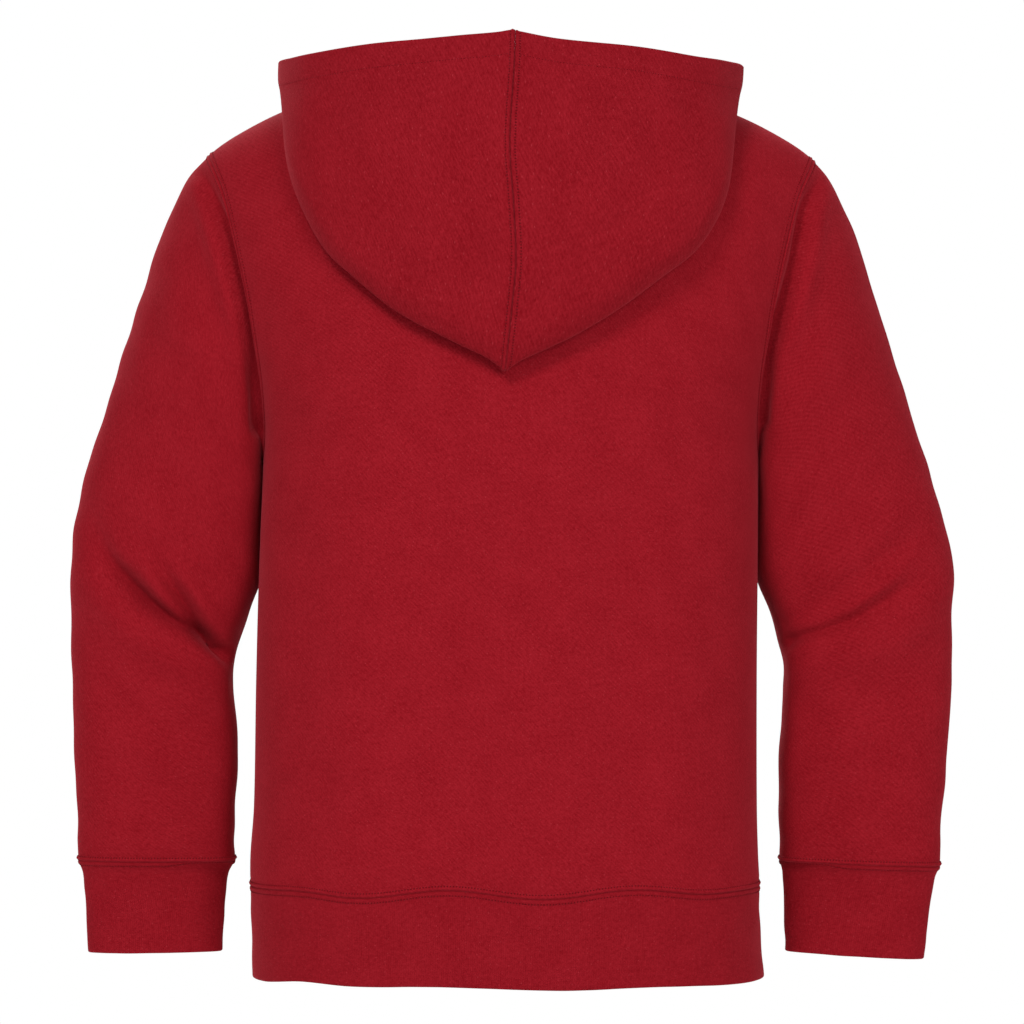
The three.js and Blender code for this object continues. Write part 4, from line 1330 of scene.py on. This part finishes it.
@dataclass
class Hood(SewnPiece):
    """One half of the hood: up from the neck seam, over and down the back, and up to the rim."""

    side: Side
    creases: tuple[Crease, ...]
    # Painted shade: the hood takes the darker copy of the fleece.
    finish: str = "hood"
    length_around: float = 540.0
    length_down: float = 400.0
    cloth_thickness: float = 2.0
    hem_thickness: float = 3.2
    hem_width: float = 20.0
    hem_turn: float = 3.0
    hem_lift: float = 0.3
    hem_stitch: float = 17.4
    hem_stitch_size: float = 0.4
    hem_bite: float = 0.18
    hem_bite_width: float = 0.9
    hem_shade: float = 0.1
    fold_width: float = 13.0
    corner: float = 0.52
    behind_reach: float = 0.14
    over_back: tuple[float, float] = (0.36, 0.48)
    pouch_ends: tuple[float, float] = (0.38, 0.58)
    evenly_from: tuple[float, float] = (0.26, 0.42)
    seam_influence: float = 0.25
    roll: float = 0.3
    roll_share: float = 0.62
    off_back: float = 4.0
    stand_turn: tuple[float, float] = (0.2, 0.62)
    pouch_power: float = 2.2
    inner: tuple[float, ...] = (0.17, 0.34, 0.52, 0.7, 0.84, 0.94)
    outer: tuple[float, ...] = (0.08, 0.2, 0.35, 0.52, 0.73)
    free_edge: bool = True
    cut: FlatCut = FlatCut((0.33, 0.36), 0.072)
    fold: Table = Table(
        ("at", "left", "right", "y", "z"),
        (
            (0, 3.6, -3.6, 119, -199), (0.08, 37, 33, 118, -183), (0.16, 74, 67, 114, -163),
            (0.24, 102, 98, 107, -139.5), (0.31, 120, 120, 101, -122), (0.38, 135, 136.5, 91, -94),
            (0.44, 147.2, 144.5, 75, -65), (0.48, 149.7, 147.3, 55, -37),
            (0.52, 149.8, 148.2, 36, -18), (0.58, 142, 141, 10, -13), (0.66, 119, 119, -19, -17),
            (0.75, 91, 91, -44, -25), (0.85, 58, 58, -66, -38), (0.93, 28, 28, -75.5, -47),
            (1, 0, 0, -78.5, -52),
        ),
    )
    rim: Table = Table(
        ("at", "left", "right", "y", "z"),
        (
            (0, -2.8, 2.8, 112, 17.5), (0.08, 27, 27, 110, 14.8), (0.16, 56, 56, 104, 12.6),
            (0.24, 86, 85, 94, 11), (0.31, 109, 108, 80, 9), (0.38, 129, 129, 60, 7),
            (0.44, 142, 142, 42, 5.9), (0.48, 149.2, 149.4, 31, 5.9), (0.52, 151, 151, 20, 5.6),
            (0.58, 144, 144.5, 3, 3.6), (0.66, 127, 127, -21, -1), (0.75, 100, 100, -46, -9),
            (0.85, 64, 64, -70, -20), (0.93, 32, 32, -81.5, -30), (1, 0, 0, -85.5, -38),
        ),
    )
    rim_sag: Table = Table(
        ("x", "left", "right"),
        (
            (0, 0, 0), (9, 0.7, 1.3), (31, 0.6, 3.1), (69, 1.1, 3.8), (100, 1.5, 5),
            (120, 1.8, 5.6), (146, 1.9, 4.5), (155, 1.9, 4.9),
        ),
    )
    middle: Table = Table(
        ("z", "y"),
        (
            (-199, 119), (-196, 123.5), (-190, 127), (-178, 130.5), (-155, 135), (-125, 139),
            (-90, 141), (-50, 138), (-15, 129), (18, 112),
        ),
    )
    stand: Table = Table(("at", "out", "up"), ((0, 9, 14), (0.5, 9, 12), (0.75, 5, 9), (1, 3, 7)))
    seam_line: Table = Table(
        ("z", "x"),
        (
            (-199, 3.6), (-180, 1.5), (-140, -2.5), (-118, -3.4), (-70, 0.3), (-50, 0.5),
            (-15, -1.8), (17, -2.8),
        ),
    )

    ROWS_TO_CREST = 3
    NEAR_RIM = slice(-40, None)

    def __post_init__(self) -> None:
        """Works out the outer face."""
        self.node = f"hood_{self.side.key}"
        at = graded(self.length_around, 3.4, (True, False), fine=1.1)
        lines = self.lines(at)
        run = distances(lines)
        share = graded(self.length_down, 2.7, (True, True), band=6.0)
        columns = [rounded(lines[:, c], run[:, c], share * run[-1, c]) for c in range(len(at))]
        self.cloth = Cloth(np.stack(columns, axis=1), -self.side.value)
        fold_line = self.ROWS_TO_CREST + len(self.inner)
        past = self.cloth.from_start() - run[fold_line]
        off_seam = smoothstep(self.cloth.from_column(True), 0, 14)
        off_front = smoothstep(self.cloth.from_column(False), 1, 14)
        on_fold = np.exp(-((past / self.fold_width) ** 2))
        self.cloth.soften(passes=10, keep=1 - 0.85 * on_fold * off_seam * off_front)
        strength = smoothstep(past, 14, 55) * smoothstep(self.cloth.from_end(), 8, 40)
        self.cloth.press(self.creases, Face.BACK, strength * off_seam)
        loose = strength * off_seam * off_front
        self.cloth.waver(size=0.8, length=52, turn=1.1 + self.side.value, strength=loose)
        from_rim = self.cloth.from_end()
        thick = 1 - smoothstep(from_rim, self.hem_width - self.hem_turn, self.hem_width)
        self.thickness = lerp(self.cloth_thickness, self.hem_thickness, thick)

    def neckline(self, at: Array) -> Array:
        """Points of the neck seam, from the middle of the back (0) to that of the front (1)."""
        halves = []
        for face, share in ((Face.BACK, at), (Face.FRONT, 1 - at)):
            x, z = TORSO.top(face, np.clip(share, 0, 0.5))
            y = face.value * TORSO.depth(face, self.side, x, z)
            halves.append(np.stack([self.side.value * x, y, z], axis=-1))
        return np.where(at[:, None] <= 0.5, *halves)

    def pouch_depth(self, x: Array, z: Array) -> Array:
        """How far back the outer layer of the pouch lies at a place seen from behind."""
        rows = [row for row in self.fold.rows if row[0] <= self.corner]
        rows += [row for row in self.rim.rows if row[0] == self.corner]
        edge = Table(("z", "left", "right", "y"), tuple((row[4], *row[1:4]) for row in rows))
        seam, far = self.seam_line.read("x", z), edge.read("y", z)
        reach = self.side.value * edge.read(self.side.key, z) - seam
        share = np.clip((x - seam) / reach, 0, 1)
        return far + (self.middle.read("y", z) - far) * np.sqrt(1 - share**self.pouch_power)

    def seam_shift(self, z: Array) -> Array:
        """How far the middle seam strays from the straight line between the tip and the rim."""
        tip, rim = self.fold.rows[0], self.rim.rows[0]
        straight = lerp(tip[1], rim[1], (z - tip[4]) / (rim[4] - tip[4]))
        return self.seam_line.read("x", z) - straight

    def ends(self, at: Array) -> list[Array]:
        """Points of the fold and of the rim, where the lines turn up and where they end."""
        ends = []
        for table in (self.fold, self.rim):
            x = self.side.value * table.read(self.side.key, at)
            ends.append(np.stack([x, table.read("y", at), table.read("z", at)], axis=-1))
        rim = ends[1]
        behind = 1 - smoothstep(at, self.corner, self.corner + self.behind_reach)
        rim[:, 2] -= self.rim_sag.read(self.side.key, np.abs(rim[:, 0])) * behind
        return ends

    def on_back(self, crest: Array, fold: Array, share: float, over_back: Array) -> Array:
        """Points of the layer that lies on the garment's back.

        Args:
            crest: where the lines start down.
            fold: where they turn up.
            share: share of the way from the crest to the fold.
            over_back: how far each line lies over the back, from 0 to 1.

        Returns:
            One point for each line.
        """
        point = lerp(crest, fold, share)
        turn_up = 1 - math.sqrt(1 - share**4)
        straight = lerp(point[:, 1], lerp(crest[:, 1], fold[:, 1], turn_up), over_back)
        back = TORSO.depth(Face.BACK, self.side, np.abs(point[:, 0]), point[:, 2] - self.off_back)
        resting = lerp(back + self.off_back, fold[:, 1], turn_up)
        blend = np.hypot(resting - straight, self.off_back)
        deep = lerp(straight, (resting + straight + blend) / 2, over_back)
        lies = (deep > 0) & (back > 0)
        point[:, 1] = np.where(lies, np.maximum(deep, back + self.off_back), deep)
        return point

    def lines(self, at: Array) -> Array:
        """Points on lines from the neck seam down to the fold and up to the rim.

        Args:
            at: place of each line, 0 in the middle of the back and 1 in that of the front.

        Returns:
            Points in rows along the lines and columns across them.
        """
        start = self.neckline(at)
        fold, rim = self.ends(at)
        over_back = 1 - smoothstep(at, *self.over_back)
        in_pouch = 1 - smoothstep(at, *self.pouch_ends)[:, None]
        outward = unit(start * np.array([1, 1, 0])) * self.stand.read("out", at)[:, None]
        up = np.array([0, 0, 1]) * self.stand.read("up", at)[:, None]
        crest = start + outward + up
        stand = start + outward * self.stand_turn[0] + up * self.stand_turn[1]
        pull = fold + (fold - lerp(crest, rim, 0.5)) * self.roll
        rows = [start, stand, crest]
        for share in self.inner:
            point = self.on_back(crest, fold, share, over_back)
            rows.append(lerp(self.bezier(crest, pull, rim, share * self.roll_share), point, in_pouch))
        rows.append(lerp(self.bezier(crest, pull, rim, self.roll_share), fold, in_pouch))
        length = np.linalg.norm(fold - rim, axis=-1)
        hem = 1 - np.minimum(self.hem_width / length, 0.5)
        evenly = smoothstep(at, *self.evenly_from)
        near_seam = 1 - smoothstep(at, 0, self.seam_influence)
        shares = [
            hem * lerp(share, (i + 1) / (len(self.outer) + 1), evenly)
            for i, share in enumerate(self.outer)
        ]
        for share in [*shares, hem, np.ones_like(hem)]:
            point = lerp(fold, rim, share[:, None])
            point[:, 0] += self.seam_shift(point[:, 2]) * near_seam
            point[:, 1] = self.pouch_depth(point[:, 0], point[:, 2])
            turned = lerp(self.roll_share, 1, share)[:, None]
            rows.append(lerp(self.bezier(crest, pull, rim, turned), point, in_pouch))
        return np.stack(rows)

    @staticmethod
    def bezier(start: Array, pull: Array, end: Array, t: Any) -> Array:
        """Point on a quadratic curve."""
        return (1 - t) ** 2 * start + 2 * t * (1 - t) * pull + t**2 * end

    def seams(self) -> Array:
        """Raises the middle seam and the turned hem, and returns their shading."""
        middle, rim = self.cloth.from_column(True), self.cloth.from_end()
        turned_in = 1 - smoothstep(rim, self.hem_width - self.hem_turn, self.hem_width + 0.5)
        bite = np.exp(-(((rim - self.hem_stitch) / self.hem_bite_width) ** 2))
        off_middle = smoothstep(np.minimum(middle, self.cloth.from_column(False)), 0, 5)
        seam = BODY_SEAM if self.side is Side.LEFT else NARROW_SEAM
        hem = self.hem_lift * turned_in - self.hem_bite * bite
        self.cloth.lift(seam.profile(middle) + hem * off_middle)
        return np.maximum(seam.shade(middle), self.hem_shade * bite * off_middle)

    def stitch(self, stitches: Stitches) -> None:
        """Sews the rows beside the middle seam and along the rim's hem."""
        across = self.cloth.turned()
        away = np.swapaxes(self.cloth.from_column(True), 0, 1)
        stitches.sew(*across.path_at(away, BODY_SEAM.stitch_at, FIRST_ROWS))
        rim, normals = self.cloth.path_at(self.cloth.from_end(), self.hem_stitch, self.NEAR_RIM)
        stitches.sew(rim[5:-3], normals[5:-3], size=self.hem_stitch_size)


@dataclass(frozen=True)
class Lamp:
    """A round area lamp."""

    name: str
    place: tuple[float, float, float]
    size: float
    power: float

    def build(self, target: Vector) -> None:
        """Hangs the lamp so that it faces the target."""
        lamp = bpy.data.lights.new(self.name, "AREA")
        lamp.shape, lamp.size, lamp.energy = "DISK", self.size, self.power
        held = bpy.data.objects.new(self.name, lamp)
        held.location = self.place
        held.rotation_euler = (target - held.location).to_track_quat("-Z", "Y").to_euler()
        bpy.context.scene.collection.objects.link(held)


@dataclass(frozen=True)
class Stage:
    """Plain pale floor, soft studio light and the camera of the photograph."""

    distance: float = 3.6
    height: float = -0.2882
    aside: float = -0.00066
    lens: float = 193.24
    floor_z: float = -0.9
    floor_radius: float = 2.85
    floor_tones: tuple[float, float] = (0.8, 0.84)
    floor_roughness: float = 0.9
    backdrop_strength: float = 1.0
    light_strength: float = 0.38
    lamps: tuple[Lamp, ...] = (
        Lamp("key", (1.15, 3.0, 2.1), 1.0, 60.0),
        Lamp("fill", (-1.25, 3.3, 0.5), 1.6, 39.0),
        Lamp("front", (0.9, -2.6, 1.6), 2.2, 85.0),
    )

    def build(self) -> None:
        """Puts up the floor, the light and the camera."""
        self.build_floor()
        for lamp in self.lamps:
            lamp.build(Vector((0, 0, self.height)))
        self.build_world()
        self.build_camera()

    def build_floor(self) -> None:
        """Lays the pale floor."""
        bpy.ops.object.select_all(action="DESELECT")
        bpy.ops.mesh.primitive_circle_add(
            vertices=128, radius=self.floor_radius, fill_type="NGON", location=(0, 0, self.floor_z)
        )
        floor = bpy.context.active_object
        floor.name = "floor"
        shader = Shader("pale_floor")
        place = shader.node("ShaderNodeTexCoord").outputs["Object"]
        darker, lighter = ((tone, tone, tone, 1.0) for tone in self.floor_tones)
        colour = shader.mix(darker, lighter, shader.noise(place, 2.0, 2.0))
        values = {"Base Color": colour, "Roughness": self.floor_roughness}
        surface = shader.node("ShaderNodeBsdfPrincipled", None, values)
        shader.node("ShaderNodeOutputMaterial", None, {0: surface.outputs[0]})
        floor.data.materials.append(shader.material)

    def build_world(self) -> None:
        """Sets the even light, and the lighter backdrop that only the camera sees."""
        world = bpy.data.worlds.new("studio")
        world.use_nodes = True
        nodes, links = world.node_tree.nodes, world.node_tree.links
        mixed, light = nodes.new("ShaderNodeMixShader"), nodes["Background"]
        backdrop, seen = nodes.new("ShaderNodeBackground"), nodes.new("ShaderNodeLightPath")
        for sky, strength in ((light, self.light_strength), (backdrop, self.backdrop_strength)):
            sky.inputs[0].default_value = (1.0, 1.0, 1.0, 1.0)
            sky.inputs[1].default_value = strength
        for source, socket in ((seen, 0), (light, 1), (backdrop, 2)):
            links.new(source.outputs[0], mixed.inputs[socket])
        links.new(mixed.outputs[0], nodes["World Output"].inputs[0])
        bpy.context.scene.world = world
        bpy.context.scene.view_settings.view_transform = "Standard"

    def build_camera(self) -> None:
        """Sets the photograph's camera."""
        lens = bpy.data.cameras.new("camera")
        lens.lens, lens.sensor_width, lens.clip_end = self.lens, 36.0, 100.0
        camera = bpy.data.objects.new("camera", lens)
        camera.location = (self.aside, self.distance, self.height)
        camera.rotation_euler = (math.pi / 2, 0, math.pi)
        bpy.context.scene.collection.objects.link(camera)
        bpy.context.scene.camera = camera


def cut_panels() -> tuple[Panel, Panel]:
    """The back and the front with their creases."""
    back = Panel(
        Face.BACK,
        (
            Crease.bowed((42, -215), (46, -545), 4, 26, -3),
            Crease.bowed((-16, -230), (-20, -545), -5, 30, 2.4),
            Crease.bowed((-74, -260), (-72, -545), 4, 20, -2.2),
            Crease.bowed((92, -240), (96, -545), 4, 24, 2.2),
            Crease.bowed((118, -250), (150, -205), -4, 10, -1.6),
            Crease.bowed((-118, -258), (-150, -208), 4, 10, -1.6),
            Crease.bowed((128, -300), (136, -500), 3, 13, -0.9),
            Crease.bowed((-128, -310), (-134, -505), -3, 13, -0.9),
        ),
    )
    front = Panel(
        Face.FRONT,
        (
            Crease.bowed((52, -190), (66, -545), -5, 26, -3),
            Crease.bowed((0, -200), (8, -545), 5, 28, 2.2),
            Crease.bowed((-58, -215), (-50, -545), 5, 24, -2.8),
            Crease.bowed((105, -250), (148, -190), -5, 12, -2.4),
            Crease.bowed((-105, -255), (-148, -192), 5, 12, -2.4),
            Crease.bowed((96, -300), (118, -505), 4, 16, -1.4),
            Crease.bowed((-100, -290), (-116, -500), -4, 15, -1.3),
        ),
    )
    return back, front


SLEEVES = {
    Side.LEFT: SleeveForm(
        arm=Table(
            SleeveForm.ARM,
            (
                (0, 197.5, -54.5, 162, -255, 55, 0), (1, 212.5, -70.5, 163.8, -259.5, 58, 8),
                (2, 225, -94, 162.8, -268, 61, 16), (3, 236.4, -124, 162.5, -280, 62, 22),
                (4, 246.8, -155, 162.8, -296, 61, 26), (5, 258, -191, 163.2, -313, 58, 28),
                (6, 269.1, -226.5, 165.2, -332, 54, 29), (7, 280.2, -261, 172, -352, 50, 29),
                (8, 287.7, -293, 178.3, -371, 46, 28), (9, 290.5, -325.3, 183, -388, 42, 27),
                (10, 290.6, -356.5, 183, -404, 38, 27), (11, 290.3, -389, 181.4, -425, 35, 28),
                (12, 288.9, -426, 180.5, -451, 33, 30), (13, 287.6, -469.7, 181.7, -480, 30, 33),
                (14, 286.6, -502, 183.2, -504, 28, 36), (15, 286.5, -518.5, 182.4, -518.5, 25, 38),
            ),
        ),
        cuff=Table(
            SleeveForm.CUFF,
            (
                (0, 286.5, 182.4, 25, 0), (8, 283.6, 186.6, 21, 0), (30, 281.4, 189.1, 18.5, 0.5),
                (60, 280.1, 191.1, 18, 1),
            ),
        ),
        folds={
            Face.BACK: (
                Crease.along(
                    (272, -300, 8, -2), (267.3, -313.3, 8, -6), (260.3, -325.3, 7.5, -9.5),
                    (249.3, -336.3, 7, -11.5), (238.3, -346.3, 6.5, -12.5),
                    (224.3, -356.2, 5.8, -12), (211.4, -365.2, 5.2, -10.5),
                    (201.3, -372.2, 4.8, -9), (193.4, -378.2, 4.8, -8), (182, -384.5, 4.8, -6.5),
                ),
                Crease.along(
                    (226.5, -325, 5, -2), (221, -336, 5.5, -6), (215.3, -344.3, 5.5, -9.5),
                    (208.4, -356.2, 5.2, -12.5), (202.4, -366.2, 5, -14), (194.3, -374.2, 4.8, -13),
                    (187, -380, 4.4, -8),
                ),
                Crease.bowed((183, -404), (280, -324), -12, 11, 4),
                Crease.bowed((241, -320), (207, -361), 3, 5.5, 3.4),
                Crease.bowed((216, -322), (189, -362), 3, 8, 4),
                Crease.bowed((205, -300), (262, -262), -8, 16, 1.6),
                Crease.bowed((214, -430), (262, -395), -6, 16, -1.4),
            ),
            Face.FRONT: (
                Crease.bowed((178, -388), (276, -330), -9, 11, -8),
                Crease.bowed((176, -360), (252, -300), -6, 12, -6),
                Crease.bowed((196, -150), (186, -235), 3, 12, -5),
                Crease.bowed((184, -410), (262, -372), -8, 13, 2.5),
            ),
        },
        beside_seam=(
            Crease.along(
                (205, -63, 4, -1.2), (198.5, -75, 4, -4), (188.9, -96.3, 4, -7.5),
                (183.4, -111, 4, -9), (177.2, -135.5, 4, -9.5), (172.4, -155, 4, -9.5),
                (168, -181, 4.2, -9), (164.8, -212, 4.6, -7), (163.4, -234, 5, -4.5),
            ),
            Crease.along(
                (206, -76, 6, 1.5), (197.5, -98, 6.5, 3), (192, -113, 6.5, 3.5),
                (186, -138, 6.5, 3.5), (181.5, -158, 6.5, 3.2), (177, -184, 6.5, 2.5),
                (174, -214, 7, 1),
            ),
        ),
    ),
    Side.RIGHT: SleeveForm(
        arm=Table(
            SleeveForm.ARM,
            (
                (0, 197.5, -54.5, 162, -255, 55, 0), (1, 210.5, -70.5, 163.4, -259.5, 58, 8),
                (2, 221.5, -94, 161.8, -268, 61, 16), (3, 232.4, -124, 160.8, -280, 62, 22),
                (4, 242.2, -155, 160.4, -296, 61, 26), (5, 254, -191, 160.6, -313, 58, 28),
                (6, 265.1, -226.5, 162.4, -332, 54, 29), (7, 275.7, -261, 170.2, -352, 50, 29),
                (8, 285.2, -293, 175.8, -370, 46, 28), (9, 291.5, -325.3, 180.2, -389, 42, 27),
                (10, 291.4, -356.5, 179.8, -405, 38, 27), (11, 290.7, -389, 178.7, -425, 35, 28),
                (12, 289.4, -426, 177, -451, 33, 30), (13, 287.1, -467.7, 176.6, -476, 30, 33),
                (14, 284.3, -502, 177.8, -501, 28, 36), (15, 284, -522.5, 177.5, -518.5, 25, 38),
            ),
        ),
        cuff=Table(
            SleeveForm.CUFF,
            (
                (0, 284, 177.5, 25, 4), (8, 280.5, 179.7, 21, 4), (30, 277, 180.5, 18.5, 5),
                (60, 273.5, 181.2, 18, 5.5),
            ),
        ),
        folds={
            Face.BACK: (
                Crease.along(
                    (-272, -334, 6, -0.8), (-262.5, -337.3, 6, -2.6), (-252.7, -340.6, 6, -4),
                    (-245.1, -345.9, 6, -5), (-235.5, -351.7, 5.5, -5.5), (-226, -357.4, 5, -6),
                    (-211.6, -363.1, 4.6, -6), (-202, -366.5, 4.4, -6), (-187.7, -370.8, 4.4, -6),
                    (-176, -375.6, 4.4, -5),
                ),
                Crease.along(
                    (-268, -300, 9, -1), (-254.4, -310.2, 9, -3), (-240, -320, 9, -3.6),
                    (-225.7, -332.9, 9, -3.6), (-197, -352, 9, -3), (-180, -361, 8, -2),
                ),
                Crease.along(
                    (-264, -315, 5.5, 1), (-249.9, -330, 5.5, 2.4), (-238.1, -340.2, 5, 2.2),
                    (-219, -353.5, 5, 1.2),
                ),
                Crease.bowed((-177, -392), (-284, -345), 10, 12, 3),
                Crease.bowed((-214, -425), (-262, -398), 6, 16, -1.4),
            ),
            Face.FRONT: (
                Crease.bowed((-174, -382), (-278, -318), 11, 11, -8),
                Crease.bowed((-174, -352), (-250, -288), 7, 12, -5.5),
                Crease.bowed((-196, -152), (-186, -232), -3, 12, -5),
                Crease.bowed((-182, -408), (-262, -366), 9, 13, 2.5),
            ),
        },
        beside_seam=(
            Crease.along(
                (-203.5, -66, 4, -1), (-198.6, -77, 4.2, -4), (-192.5, -88, 4.2, -6.5),
                (-189.1, -104.3, 4.2, -7.8), (-186, -121.7, 4.4, -8.8), (-180.6, -142, 4.5, -9.2),
                (-175.5, -159.4, 4.5, -9.2), (-170.3, -175.5, 4.5, -9), (-166, -191, 4.8, -8),
                (-163.4, -210, 5, -6), (-162.4, -228, 5, -4.5),
            ),
            Crease.along(
                (-208, -80, 6, 1), (-202, -92, 6.5, 2.2), (-198.6, -107, 6.5, 2.6),
                (-195.5, -124, 7, 2.8), (-190.5, -145, 7, 2.8), (-185.5, -163, 7, 2.6),
                (-180.5, -179, 7, 2.4), (-176, -195, 7, 2), (-173, -213, 7, 1),
            ),
        ),
    ),
}


def cut_sleeves(back: Panel, front: Panel) -> list[SewnPiece]:
    """Both sleeves with their cuffs."""
    sleeves = [Sleeve(side, armhole_loop(back, front, side), SLEEVES[side]) for side in Side]
    cuffs = [Cuff(one.side, one.cloth.points[-1].copy(), one.form.cuff) for one in sleeves]
    return [*sleeves, *cuffs]


def cut_hoods() -> list[SewnPiece]:
    """Both halves of the hood."""
    creases = (
        Crease.bowed((118, -20), (92, -62), 4, 16, -3),
        Crease.bowed((30, -96), (20, -176), -4, 10, -3.2),
        Crease.bowed((62, -70), (46, -160), 5, 15, 2),
        Crease.bowed((-46, -20), (-30, -70), 3, 16, 2),
        Crease.bowed((-96, -30), (-70, -120), -6, 18, -2),
    )
    return [Hood(side, creases) for side in Side]


def main() -> None:
    """Builds the garment piece by piece, then its stage."""
    logging.basicConfig(level=logging.INFO, format="%(message)s")
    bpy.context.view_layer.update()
    finishes = Finishes()
    back, front = cut_panels()
    pieces = [back, front, Waistband(back, front), *cut_sleeves(back, front), *cut_hoods()]
    for piece in pieces:
        piece.shade = piece.seams()
    join_edges(piece.cloth for piece in pieces)
    for piece in pieces:
        piece.build(finishes)
    stitches = Stitches("seam_stitches")
    for piece in pieces:
        piece.stitch(stitches)
    thread = stitches.build(finishes.thread)
    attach(thread, "root")
    log.info("%s: %d faces", thread.name, len(thread.data.polygons))
    Stage().build()


if __name__ == "__main__":
    main()
